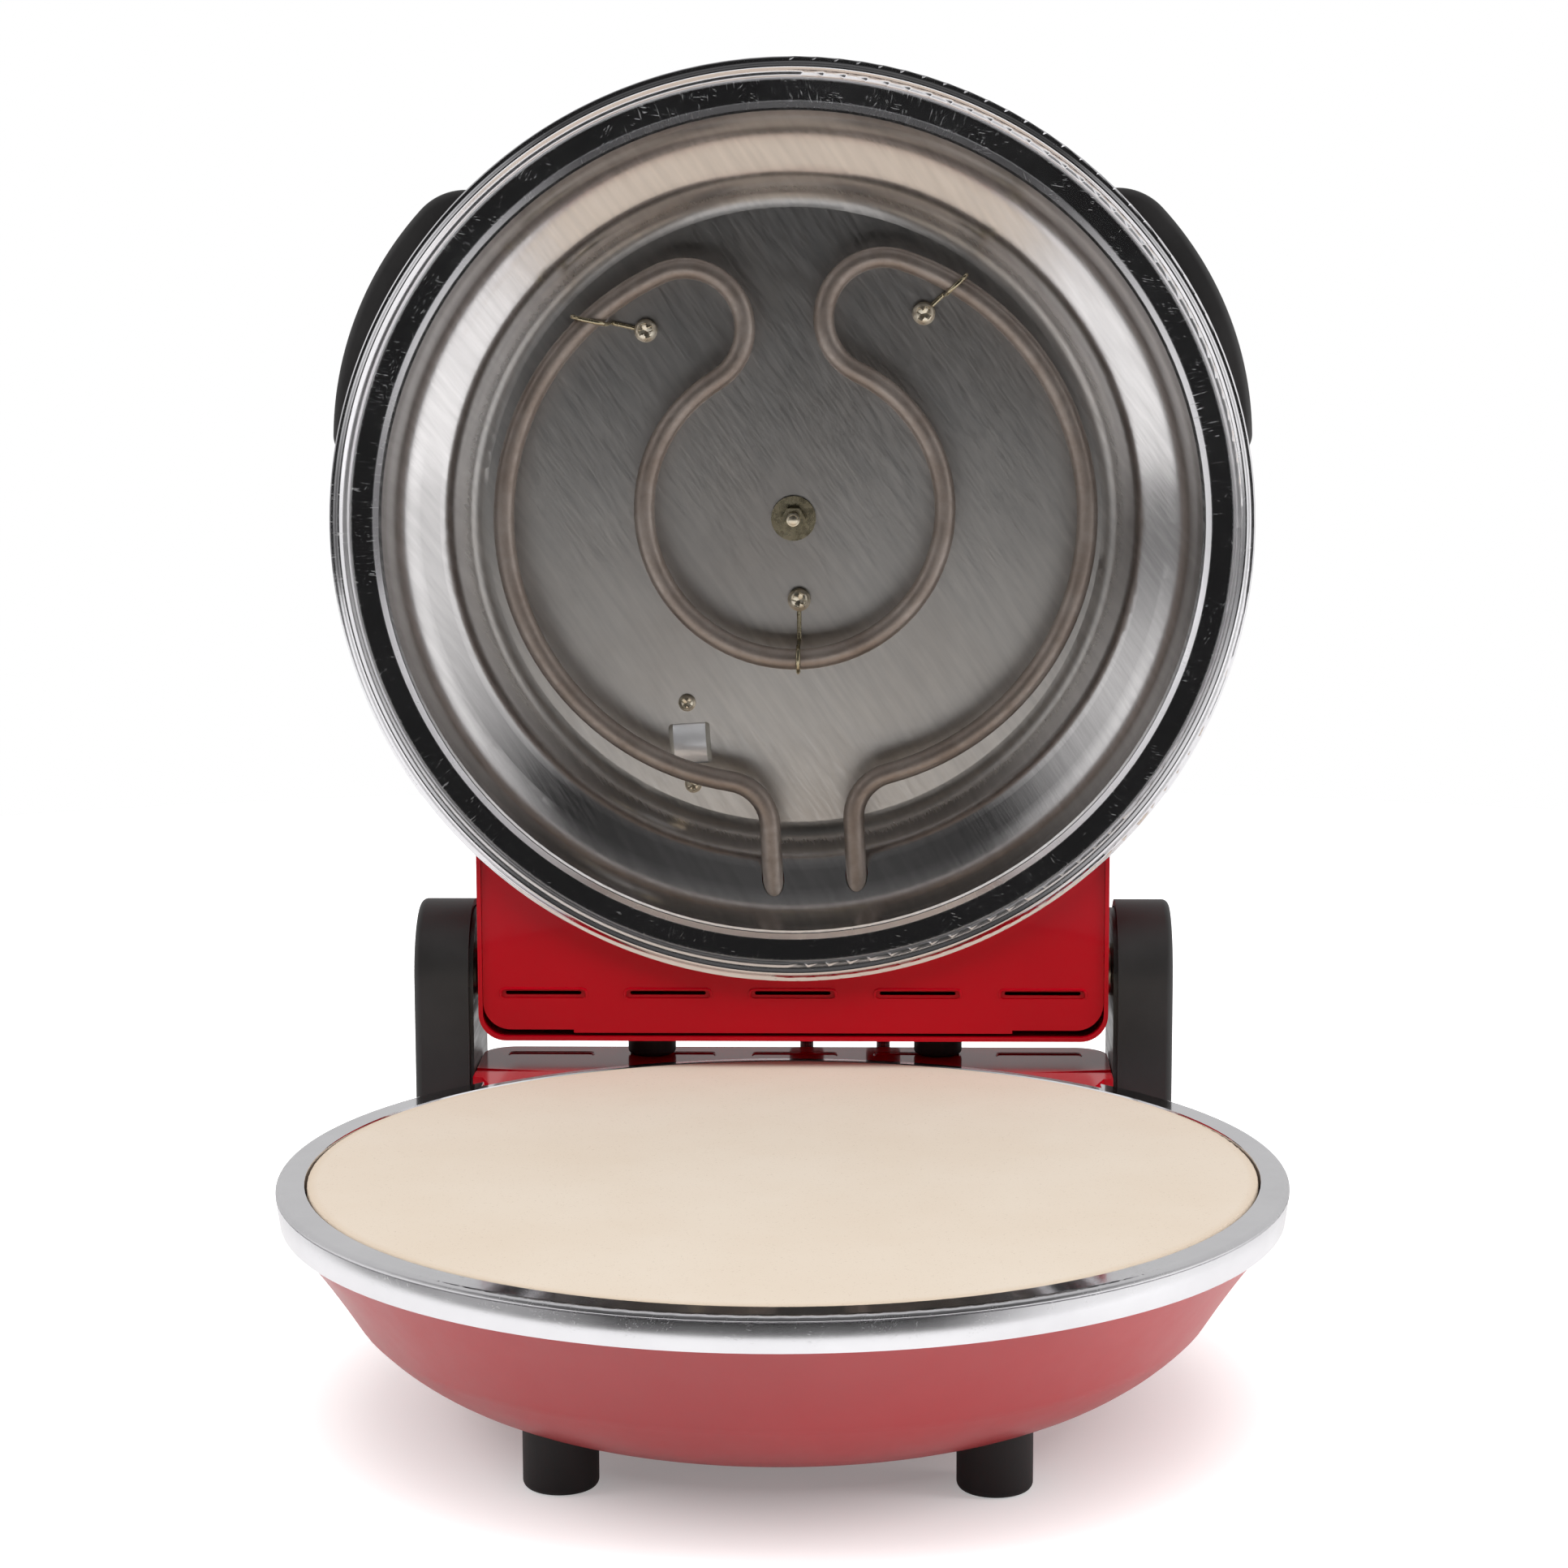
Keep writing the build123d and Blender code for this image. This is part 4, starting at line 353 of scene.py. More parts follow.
@dataclass(frozen=True)
class LidTrim(BrightTrim):
    """Lid trim: a slightly dished flat, an inner lip and a beaded edge."""

    lip_r: float = 0.1496
    bead_r: float = 0.1580
    lip_slope: float = -0.70
    dish_slope: float = 0.13
    bead_depth: float = 0.00052
    bead_pitch: float = 0.0036
    rub_lines: float = 260.0
    rub_runs: float = 190.0

    def wear(self, graph: Graph, local, radius, scratch):
        """Add the short radial rubs on the flat, which lie in patches."""
        parts = graph.add("ShaderNodeSeparateXYZ", None, Vector=local)
        angle = graph.math("ARCTAN2", parts.outputs["X"], parts.outputs["Z"])
        across = graph.math("MULTIPLY", angle, self.rub_lines)
        rub = graph.add("ShaderNodeCombineXYZ", None, X=across, Y=graph.math("MULTIPLY", radius, self.rub_runs), Z=0.37)
        line = graph.span(graph.noise(rub.outputs[0], 1.0, 1.0), 0.64, 0.78, 0.0, 0.55)
        patch = graph.span(graph.noise(local, 15.0, 3.0), 0.44, 0.62, 0.0, 1.0)
        return graph.math("MAXIMUM", scratch, graph.math("MULTIPLY", line, patch))

    def soften(self, graph: Graph, radius, rough):
        """Dull the drawn lip and the bead, which polish less than the flat."""
        lip = graph.span(radius, self.lip_r, self.lip_r + 0.0006, 0.16, 0.0)
        bead = graph.span(radius, self.bead_r - 0.0012, self.bead_r - 0.0004, 0.0, 0.26)
        crest = graph.span(radius, self.bead_r + 0.0016, self.bead_r + 0.0026, 0.0, -0.17)
        return graph.math("ADD", graph.math("ADD", rough, lip), graph.math("ADD", bead, crest))

    def pressed(self, graph: Graph, local, radius):
        """Return the height of the lip, the dish and the bead."""
        lip = graph.math("MULTIPLY", graph.math("MINIMUM", radius, self.lip_r), self.lip_slope)
        inside = graph.math("MAXIMUM", graph.math("MINIMUM", radius, self.bead_r), self.lip_r)
        dish = graph.math("MULTIPLY", inside, self.dish_slope)
        phase = graph.math("MULTIPLY", graph.math("SUBTRACT", radius, self.bead_r), 2 * pi / self.bead_pitch)
        wave = graph.math("MULTIPLY", graph.math("SUBTRACT", graph.math("COSINE", phase), 1.0), self.bead_depth)
        bead = graph.math("MULTIPLY", wave, graph.math("GREATER_THAN", radius, self.bead_r))
        return graph.math("ADD", graph.math("ADD", lip, dish), bead)


@dataclass(frozen=True)
class BaseTrim(BrightTrim):
    """Base trim: a band that is rolled slightly convex."""

    middle_z: float = 0.0700
    roll: float = 30.0
    band_r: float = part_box("base_trim_ring")[1].x - 0.0010

    def soften(self, graph: Graph, radius, rough):
        """Dull the rolled band, which polishes less than the flat."""
        return graph.math("ADD", rough, graph.span(radius, self.band_r, self.band_r + 0.0008, 0.0, 0.17))

    def pressed(self, graph: Graph, local, radius):
        """Return the height of the rolled band."""
        parts = graph.add("ShaderNodeSeparateXYZ", None, Vector=local)
        offset = graph.math("SUBTRACT", parts.outputs["Z"], self.middle_z)
        return graph.math("MULTIPLY", graph.math("MULTIPLY", offset, offset), -self.roll / 2)


@dataclass(frozen=True)
class BrushedPan(Finish):
    """Aluminised sheet with straight diagonal brushing, heat stain and painted shade that darkens the plate towards its
    top.
    """

    name: str
    centre: Vector
    turn: float
    # dark and light are the ends of the painted shade on the plate: dark at its top, light at its bottom.
    dark: tuple[float, float, float]
    light: tuple[float, float, float]
    stain: tuple[float, float, float]
    wall: tuple[float, float, float]
    plate_r: float = 0.1175

    def build(self) -> bpy.types.Material:
        """Build the material."""
        material, graph, shader, coords = self.start(self.name)
        shader.inputs["Metallic"].default_value = 1.0
        local = graph.vector("SUBTRACT", coords, tuple(self.centre))
        turned = graph.add("ShaderNodeVectorRotate", {"rotation_type": "Y_AXIS"}, Vector=local, Angle=self.turn)
        parts = graph.add("ShaderNodeSeparateXYZ", None, Vector=turned.outputs["Vector"])
        sheet = graph.add("ShaderNodeCombineXYZ", None, X=parts.outputs["X"], Y=parts.outputs["Z"])
        brush = self.effect(graph, EFFECTS.streaks, Vector=sheet.outputs[0], Lines=1500.0)
        low = graph.add("ShaderNodeSeparateXYZ", None, Vector=local)
        # Painted shade: the plate's colour runs from light at the bottom to dark at the top.
        height = graph.span(low.outputs["Z"], -0.12, 0.13, 0.0, 1.0)
        tone = graph.span(brush.outputs["Tone"], 0.3, 0.7, -0.16, 0.16)
        shade = graph.math("ADD", height, tone, clamp=True)
        metal_with_painted_shade = graph.ramp(shade, [(0.0, self.light), (1.0, self.dark)])
        patch = graph.span(graph.noise(coords, 11.0, 5.0, 0.6), 0.45, 0.75, 0.0, 0.55)
        plate = graph.mix(patch, metal_with_painted_shade, (*self.stain, 1.0))
        radius = graph.vector("LENGTH", graph.vector("MULTIPLY", local, (1.0, 0.0, 1.0)))
        wall = graph.span(radius, self.plate_r, self.plate_r + 0.004, 0.0, 1.0)
        bare = graph.span(tone, -0.16, 0.16, 0.0, 1.0)
        bright = graph.mix(bare, (*self.wall, 1.0), (*(c * 0.86 for c in self.wall), 1.0))
        graph.tree.links.new(graph.mix(wall, plate, bright), shader.inputs["Base Color"])
        matt = graph.span(brush.outputs["Height"], 0.3, 0.7, 0.30, 0.40)
        smooth_wall = graph.span(brush.outputs["Height"], 0.3, 0.7, 0.17, 0.24)
        less = graph.math("MULTIPLY", wall, graph.math("SUBTRACT", smooth_wall, matt))
        graph.tree.links.new(graph.math("ADD", matt, less), shader.inputs["Roughness"])
        self.bump(graph, shader, brush.outputs["Height"], 0.16, 0.00006)
        return material


@dataclass(frozen=True)
class FiredClay(Finish):
    """Smooth fired clay with faint specks and pores."""

    name: str
    colour: tuple[float, float, float]
    warm: tuple[float, float, float]

    def build(self) -> bpy.types.Material:
        """Build the material."""
        material, graph, shader, coords = self.start(self.name)
        local = graph.vector("SUBTRACT", coords, tuple(BOWL_AXIS))
        radius = graph.vector("LENGTH", graph.vector("MULTIPLY", local, (1.0, 1.0, 0.0)))
        edge = graph.span(radius, 0.1515, 0.1548, 0.0, 1.0)
        cloud = graph.span(graph.noise(coords, 14.0, 5.0, 0.6), 0.35, 0.7, 0.0, 0.35)
        body = graph.mix(cloud, (*self.colour, 1.0), (*self.warm, 1.0))
        body = graph.mix(graph.math("MULTIPLY", edge, 0.8), body, (*self.warm, 1.0))
        speck = graph.span(graph.noise(coords, 1400.0, 1.0), 0.68, 0.74, 0.0, 0.35)
        graph.tree.links.new(graph.mix(speck, body, (0.50, 0.38, 0.28, 1.0)), shader.inputs["Base Color"])
        shader.inputs["Roughness"].default_value = 0.82
        shader.inputs["Specular IOR Level"].default_value = 0.25
        self.bump(graph, shader, graph.noise(coords, 1100.0, 4.0, 0.7), 0.12, 0.0001)
        return material


@dataclass(frozen=True)
class Steel(Finish):
    """Small steel parts: zinc plate, brushed plate or an oxidised sheath."""

    name: str
    colour: tuple[float, float, float]
    stain: tuple[float, float, float]
    roughness: float
    lines: float
    metallic: float = 1.0

    def build(self) -> bpy.types.Material:
        """Build the material."""
        material, graph, shader, coords = self.start(self.name)
        shader.inputs["Metallic"].default_value = self.metallic
        brush = self.effect(graph, EFFECTS.streaks, Vector=coords, Lines=self.lines)
        patch = graph.span(graph.noise(coords, 60.0, 5.0, 0.65), 0.35, 0.68, 0.0, 1.0)
        graph.tree.links.new(graph.mix(patch, (*self.colour, 1.0), (*self.stain, 1.0)), shader.inputs["Base Color"])
        rough = graph.span(brush.outputs["Tone"], 0.3, 0.7, self.roughness * 0.8, self.roughness * 1.25)
        graph.tree.links.new(rough, shader.inputs["Roughness"])
        self.bump(graph, shader, brush.outputs["Height"], 0.15, 0.00006)
        return material


@dataclass(frozen=True)
class Moulded(Finish):
    """Moulded plastic, rubber or ceramic with a fine grain."""

    name: str
    colour: tuple[float, float, float]
    worn: tuple[float, float, float]
    roughness: float
    scale: float
    depth: float

    def build(self) -> bpy.types.Material:
        """Build the material."""
        material, graph, shader, coords = self.start(self.name)
        grain = self.effect(graph, EFFECTS.grain, Vector=coords, Scale=self.scale)
        patch = graph.span(grain.outputs["Patch"], 0.35, 0.7, 0.0, 1.0)
        graph.tree.links.new(graph.mix(patch, (*self.colour, 1.0), (*self.worn, 1.0)), shader.inputs["Base Color"])
        rough = graph.span(grain.outputs["Patch"], 0.3, 0.7, self.roughness * 0.9, self.roughness * 1.12)
        graph.tree.links.new(rough, shader.inputs["Roughness"])
        self.bump(graph, shader, grain.outputs["Height"], self.depth, 0.00012)
        return material


@dataclass(frozen=True)
class Lens(Finish):
    """Amber lens with a ribbed inner face."""

    name: str
    colour: tuple[float, float, float]

    def build(self) -> bpy.types.Material:
        """Build the material."""
        material, graph, shader, coords = self.start(self.name)
        ribs = graph.noise(graph.vector("MULTIPLY", coords, (1.0, 0.1, 1.0)), 1800.0, 1.0)
        colour = graph.ramp(ribs, [(0.3, tuple(c * 0.7 for c in self.colour)), (0.7, self.colour)])
        graph.tree.links.new(colour, shader.inputs["Base Color"])
        shader.inputs["Roughness"].default_value = 0.15
        shader.inputs["Transmission Weight"].default_value = 0.3
        self.bump(graph, shader, ribs, 0.1, 0.0001)
        return material


@dataclass(frozen=True)
class Wool(Finish):
    """Matted mineral wool."""

    name: str
    colour: tuple[float, float, float]

    def build(self) -> bpy.types.Material:
        """Build the material."""
        material, graph, shader, coords = self.start(self.name)
        strands = graph.noise(graph.vector("MULTIPLY", coords, (1.0, 0.2, 1.0)), 300.0, 6.0, 0.75)
        colour = graph.ramp(strands, [(0.3, tuple(c * 0.6 for c in self.colour)), (0.7, self.colour)])
        graph.tree.links.new(colour, shader.inputs["Base Color"])
        shader.inputs["Roughness"].default_value = 0.95
        self.bump(graph, shader, strands, 0.6, 0.0008)
        return material


@dataclass(frozen=True)
class BraidedSleeve(Finish):
    """Glass-fibre sleeve whose braid follows the cable's own length."""

    name: str
    colour: tuple[float, float, float]
    thread: tuple[float, float, float]
    pitch: float

    def build(self) -> bpy.types.Material:
        """Build the material."""
        material, graph, shader, _ = self.start(self.name)
        along = graph.add("ShaderNodeAttribute", {"attribute_name": "along"}).outputs["Fac"]
        around = graph.add("ShaderNodeAttribute", {"attribute_name": "around"}).outputs["Fac"]
        run = graph.math("MULTIPLY", along, 2 * pi / self.pitch)
        turn = graph.math("MULTIPLY", around, 2 * pi * 8)
        left = graph.math("SINE", graph.math("ADD", run, turn))
        right = graph.math("SINE", graph.math("SUBTRACT", run, turn))
        weave = graph.math("MULTIPLY", left, right)
        shade = graph.span(weave, -0.6, 0.6, 0.0, 1.0)
        graph.tree.links.new(graph.mix(shade, (*self.colour, 1.0), (*self.thread, 1.0)), shader.inputs["Base Color"])
        shader.inputs["Roughness"].default_value = 0.75
        self.bump(graph, shader, weave, 0.5, 0.0003)
        return material


FINISHES: dict[str, Finish] = {
    "red_paint": Enamel("red_satin_enamel", (0.56, 0.030, 0.036), Coat.SATIN, 0.38, 0.06),
    "red_gloss": Enamel("red_gloss_enamel", (0.56, 0.0, 0.010), Coat.GLOSS, 0.13, 0.03),
    "base_trim": BaseTrim("base_bright_trim", BOWL_AXIS, "Z"),
    "bright_trim": LidTrim("lid_bright_trim", LID_CENTRE, "Y"),
    "brushed_pan": BrushedPan("brushed_pan", LID_CENTRE, 0.6, (0.38, 0.375, 0.375), (0.68, 0.65, 0.62), (0.44, 0.40, 0.37), (0.74, 0.72, 0.72)),
    "baking_stone": FiredClay("fired_clay", (0.84, 0.735, 0.62), (0.76, 0.62, 0.48)),
    "heater_tube": Steel("oxidised_sheath", (0.36, 0.31, 0.28), (0.26, 0.21, 0.18), 0.44, 500.0, 0.8),
    "bright_steel": Steel("zinc_steel", (0.86, 0.80, 0.68), (0.66, 0.57, 0.42), 0.34, 900.0),
    "brass_plate": Steel("brass_plate", (0.52, 0.46, 0.32), (0.40, 0.34, 0.22), 0.26, 160.0),
    "bare_strip": Steel("bare_strip", (0.90, 0.90, 0.92), (0.80, 0.80, 0.82), 0.36, 700.0, 0.55),
    "hinge_steel": Steel("black_plate", (0.030, 0.029, 0.029), (0.045, 0.044, 0.043), 0.34, 1200.0, 0.3),
    "black_plastic": Moulded("grained_plastic", (0.021, 0.020, 0.020), (0.034, 0.032, 0.032), 0.50, 900.0, 0.22),
    "black_rubber": Moulded("black_rubber", (0.008, 0.008, 0.008), (0.016, 0.015, 0.015), 0.62, 700.0, 0.25),
    "white_ceramic": Moulded("unglazed_ceramic", (0.78, 0.76, 0.70), (0.70, 0.67, 0.60), 0.70, 1400.0, 0.15),
    "insulation": Wool("mineral_wool", (0.76, 0.73, 0.64)),
    "lamp_lens": Lens("amber_lens", (0.85, 0.25, 0.02)),
    "cable_sleeve": BraidedSleeve("braided_sleeve", (0.045, 0.045, 0.045), (0.15, 0.15, 0.145), 0.0032),
}
MATERIALS: dict[str, bpy.types.Material] = {slot: finish.build() for slot, finish in FINISHES.items()}


# ---------------------------------------------------------------------------
# Geometry helpers
# ---------------------------------------------------------------------------


def mesh_object(name: str, builder: bmesh.types.BMesh) -> bpy.types.Object:
    """Finish a bmesh as an object in the scene."""
    bmesh.ops.remove_doubles(builder, verts=builder.verts, dist=1e-7)
    bmesh.ops.recalc_face_normals(builder, faces=builder.faces)
    mesh = bpy.data.meshes.new(name)
    builder.to_mesh(mesh)
    builder.free()
    thing = bpy.data.objects.new(name, mesh)
    bpy.context.scene.collection.objects.link(thing)
    return thing


def smooth(thing: bpy.types.Object, angle: float = 40.0) -> None:
    """Shade a mesh smooth, with creases sharper than an angle in degrees."""
    for face in thing.data.polygons:
        face.use_smooth = True
    builder = bmesh.new()
    builder.from_mesh(thing.data)
    for edge in builder.edges:
        edge.smooth = not (edge.is_manifold and edge.calc_face_angle(0.0) > radians(angle))
    builder.to_mesh(thing.data)
    builder.free()


def loose_boxes(node: str) -> list[tuple[Vector, Vector]]:
    """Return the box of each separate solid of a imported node."""
    mesh = frame["nodes"][node].data
    builder = bmesh.new()
    builder.from_mesh(mesh)
    bmesh.ops.remove_doubles(builder, verts=builder.verts, dist=2e-6)
    left = set(builder.verts)
    boxes = []
    while left:
        stack = [left.pop()]
        group = list(stack)
        while stack:
            for edge in stack.pop().link_edges:
                for vert in edge.verts:
                    if vert in left:
                        left.remove(vert)
                        stack.append(vert)
                        group.append(vert)
        lows = Vector([min(v.co[i] for v in group) for i in range(3)])
        highs = Vector([max(v.co[i] for v in group) for i in range(3)])
        boxes.append((lows, highs))
    builder.free()
    boxes.sort(key=lambda pair: tuple(round(c, 4) for c in pair[0]))
    return boxes


class GeometryTree(Graph):
    """A Geometry Nodes tree with named inputs that ends in realised, painted mesh."""

    def __init__(self, name: str, inputs: dict[str, str]) -> None:
        tree = bpy.data.node_groups.new(name, "GeometryNodeTree")
        super().__init__(tree)
        tree.interface.new_socket("Geometry", in_out="INPUT", socket_type="NodeSocketGeometry")
        for label, kind in {**inputs, "Finish": "NodeSocketMaterial"}.items():
            tree.interface.new_socket(label, in_out="INPUT", socket_type=kind)
        tree.interface.new_socket("Geometry", in_out="OUTPUT", socket_type="NodeSocketGeometry")
        self.given = self.add("NodeGroupInput").outputs

    def end(self, geometry: bpy.types.NodeSocket) -> None:
        """Realise the instances, set the finish and output the mesh."""
        real = self.add("GeometryNodeRealizeInstances", None, Geometry=geometry)
        paint = self.add("GeometryNodeSetMaterial", None, Geometry=real.outputs[0], Material=self.given["Finish"])
        out = self.add("NodeGroupOutput")
        self.tree.links.new(paint.outputs[0], out.inputs["Geometry"])

    def bake(self, thing: bpy.types.Object, values: dict[str, object], name: str) -> bpy.types.Object:
        """Run the tree on an object and return the result as a plain mesh object.

        Args:
            thing: Object that carries the tree for the evaluation; it is removed.
            values: Input values by name.
            name: Name of the result.

        Returns:
            A new mesh object at the origin.
        """
        modifier = thing.modifiers.new("build", "NODES")
        modifier.node_group = self.tree
        for item in self.tree.interface.items_tree:
            if item.in_out == "INPUT" and item.name in values:
                modifier[item.identifier] = values[item.name]
        thing.update_tag()
        bpy.context.view_layer.update()
        evaluated = thing.evaluated_get(bpy.context.evaluated_depsgraph_get())
        mesh = bpy.data.meshes.new_from_object(evaluated)
        mesh.name = name
        bpy.data.objects.remove(thing, do_unlink=True)
        result = bpy.data.objects.new(name, mesh)
        bpy.context.scene.collection.objects.link(result)
        return result


def screw_tree() -> GeometryTree:
    """Tree that puts one screw at each point, turned at random about its axis."""
    tree = GeometryTree(
        "screws_at_points", {"Screw": "NodeSocketObject", "Aim": "NodeSocketVector", "Seed": "NodeSocketInt"}
    )
    shape = tree.add("GeometryNodeObjectInfo", None, Object=tree.given["Screw"])
    points = tree.add("GeometryNodeMeshToPoints", None, Mesh=tree.given["Geometry"])
    aim = tree.add("FunctionNodeAlignRotationToVector", {"axis": "Z"}, Vector=tree.given["Aim"])
    placed = tree.add(
        "GeometryNodeInstanceOnPoints", None,
        Points=points.outputs[0], Instance=shape.outputs["Geometry"], Rotation=aim.outputs[0],
    )
    spin = tree.add("FunctionNodeRandomValue", {"data_type": "FLOAT"}, Seed=tree.given["Seed"])
    spin.inputs[3].default_value = pi
    turn = tree.add("ShaderNodeCombineXYZ", None, Z=spin.outputs[1])
    turned = tree.add("GeometryNodeRotateInstances", None, Instances=placed.outputs[0], Rotation=turn.outputs[0])
    tree.end(turned.outputs[0])
    return tree


def row_tree() -> GeometryTree:
    """Tree that repeats a shape along a straight row."""
    tree = GeometryTree(
        "shapes_in_a_row",
        {"Shape": "NodeSocketObject", "Count": "NodeSocketInt", "Start": "NodeSocketVector", "Pitch": "NodeSocketVector"},
    )
    shape = tree.add("GeometryNodeObjectInfo", None, Object=tree.given["Shape"])
    line = tree.add(
        "GeometryNodeMeshLine", {"mode": "OFFSET"},
        Count=tree.given["Count"], Start_Location=tree.given["Start"], Offset=tree.given["Pitch"],
    )
    placed = tree.add("GeometryNodeInstanceOnPoints", None, Points=line.outputs[0], Instance=shape.outputs["Geometry"])
    tree.end(placed.outputs[0])
    return tree


def sleeve_tree() -> GeometryTree:
    """Tree that sweeps a round sleeve along a curve and notes where its braid runs."""
    tree = GeometryTree("sleeve_along_curve", {"Radius": "NodeSocketFloat", "Samples": "NodeSocketInt"})
    line = tree.add("GeometryNodeResampleCurve", None, Curve=tree.given["Geometry"], Count=tree.given["Samples"])
    place = tree.add("GeometryNodeSplineParameter")
    marked = tree.add(
        "GeometryNodeStoreNamedAttribute", {"data_type": "FLOAT", "domain": "POINT"},
        Geometry=line.outputs[0], Name="along", Value=place.outputs["Length"],
    )
    ring = tree.add("GeometryNodeCurvePrimitiveCircle", None, Resolution=20, Radius=tree.given["Radius"])
    turn = tree.add("GeometryNodeSplineParameter")
    rim = tree.add(
        "GeometryNodeStoreNamedAttribute", {"data_type": "FLOAT", "domain": "POINT"},
        Geometry=ring.outputs[0], Name="around", Value=turn.outputs["Factor"],
    )
    tube = tree.add("GeometryNodeCurveToMesh", None, Curve=marked.outputs[0], Profile_Curve=rim.outputs[0], Fill_Caps=True)
    soft = tree.add("GeometryNodeSetShadeSmooth", None, Geometry=tube.outputs[0])
    tree.end(soft.outputs[0])
    return tree


def thread_tree() -> GeometryTree:
    """Tree that winds a screw thread round its own axis."""
    tree = GeometryTree(
        "wound_thread", {"Turns": "NodeSocketFloat", "Radius": "NodeSocketFloat", "Length": "NodeSocketFloat", "Depth": "NodeSocketFloat"}
    )
    spiral = tree.add(
        "GeometryNodeCurveSpiral", None, Resolution=28, Rotations=tree.given["Turns"],
        Start_Radius=tree.given["Radius"], End_Radius=tree.given["Radius"], Height=tree.given["Length"],
    )
    ridge = tree.add("GeometryNodeCurvePrimitiveCircle", None, Resolution=6, Radius=tree.given["Depth"])
    wire = tree.add("GeometryNodeCurveToMesh", None, Curve=spiral.outputs[0], Profile_Curve=ridge.outputs[0], Fill_Caps=True)
    both = tree.add("GeometryNodeJoinGeometry")
    tree.tree.links.new(wire.outputs[0], both.inputs[0])
    tree.tree.links.new(tree.given["Geometry"], both.inputs[0])
    tree.end(both.outputs[0])
    return tree


TREES = {"screws": screw_tree(), "row": row_tree(), "sleeve": sleeve_tree(), "thread": thread_tree()}


@dataclass
class CrossScrew:
    """A pan-head screw with a cross recess, its seat at the origin and its head up +Z."""

    head_d: float
    head_h: float
    shank_d: float
    length: float
    recess_width: float = 0.19
    recess_reach: float = 0.62

    def build(self, name: str) -> bpy.types.Object:
        """Build the screw as a closed mesh outside the scene."""
        steps, rings = 64, 20
        radius = self.head_d / 2
        builder = bmesh.new()

        def top(r: float, angle: float) -> float:
            """Height of the head's top, with the cross sunk into it."""
            dome = self.head_h * (1 - 0.75 * (r / radius) ** 4)
            x, y = abs(r * cos(angle)), abs(r * sin(angle))
            wide, reach = self.recess_width * radius, self.recess_reach * radius
            arm = (x < wide and y < reach) or (y < wide and x < reach)
            return dome - (0.55 * self.head_h * (1 - 0.6 * max(x, y) / reach) if arm else 0.0)

        loops = []
        for ring in range(1, rings + 1):
            r = radius * ring / rings
            loops.append([builder.verts.new((r * cos(2 * pi * s / steps), r * sin(2 * pi * s / steps), top(r, 2 * pi * s / steps))) for s in range(steps)])
        for r, z in ((radius, 0.0), (self.shank_d / 2, 0.0), (self.shank_d / 2, -self.length)):
            loops.append([builder.verts.new((r * cos(2 * pi * s / steps), r * sin(2 * pi * s / steps), z)) for s in range(steps)])
        centre = builder.verts.new((0, 0, top(0.0, 0.0)))
        for s in range(steps):
            after = (s + 1) % steps
            builder.faces.new((centre, loops[0][s], loops[0][after]))
            for inner, outer in zip(loops, loops[1:]):
                builder.faces.new((inner[s], outer[s], outer[after], inner[after]))
        builder.faces.new(loops[-1])
        screw = mesh_object(name, builder)
        smooth(screw, 30.0)
        bpy.context.scene.collection.objects.unlink(screw)
        return screw


@dataclass
class ScrewSet:
    """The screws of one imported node."""

    node: str
    body: str
    aim: tuple[float, float, float]
    shape: CrossScrew
    seed: int = 3

    def build(self) -> bpy.types.Object:
        """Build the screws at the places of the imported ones, and stand for them."""
        aim = Vector(self.aim)
        points = bpy.data.meshes.new(self.node + "_places")
        seats = []
        for low, high in loose_boxes(self.node):
            middle = (low + high) / 2
            top = max(low.dot(aim), high.dot(aim))
            seats.append(middle + aim * (top - middle.dot(aim) - self.shape.head_h))
        points.from_pydata([tuple(seat) for seat in seats], [], [])
        holder = bpy.data.objects.new(self.node + "_places", points)
        bpy.context.scene.collection.objects.link(holder)
        screw = self.shape.build(self.node + "_one")
        values = {"Screw": screw, "Aim": self.aim, "Seed": self.seed, "Finish": MATERIALS["bright_steel"]}
        made = TREES["screws"].bake(holder, values, self.node + "_cross")
        bpy.data.objects.remove(screw, do_unlink=True)
        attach(made, self.body)
        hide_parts(self.node)
        log.info("%s: %d screws", made.name, len(seats))
        return made


@dataclass
class LouvreLip:
    """Pressed lip round a louvre's slit: along the slit, with both ends turned down."""

    length: float
    drop: float
    width: float

    def build(self, name: str, across: Vector, down: Vector) -> bpy.types.Object:
        """Build the lip as a closed tube outside the scene.

        Args:
            name: Name of the object.
            across: Direction of the slit.
            down: Direction of the turned ends.
        """
        half = self.length / 2
        bend = self.drop * 0.45
        path = [(-half, self.drop), (-half, bend), (-half + 0.29 * bend, 0.29 * bend), (-half + bend, 0.0)]
        path += [(-half + bend + (2 * half - 2 * bend) * step / 12, 0.0) for step in range(1, 12)]
        path += [(-x, y) for x, y in path[:4][::-1]]
        normal = across.cross(down).normalized()
        builder = bmesh.new()
        loops = []
        steps = 10
        for number, (x, y) in enumerate(path):
            before = Vector(path[max(number - 1, 0)])
            after = Vector(path[min(number + 1, len(path) - 1)])
            run = (after - before).normalized()
            side = across * -run.y + down * run.x
            fade = 0.35 if number in (0, len(path) - 1) else 1.0
            centre = across * x + down * y
            loop = []
            for step in range(steps):
                angle = 2 * pi * step / steps
                radial = side * cos(angle) * self.width / 2 + normal * sin(angle) * self.width * 0.4
                loop.append(builder.verts.new(centre + radial * fade))
            loops.append(loop)
        for first, second in zip(loops, loops[1:]):
            for step in range(steps):
                after = (step + 1) % steps
                builder.faces.new((first[step], second[step], second[after], first[after]))
        builder.faces.new(loops[0])
        builder.faces.new(loops[-1])
        lip = mesh_object(name, builder)
        smooth(lip, 50.0)
        bpy.context.scene.collection.objects.unlink(lip)
        return lip


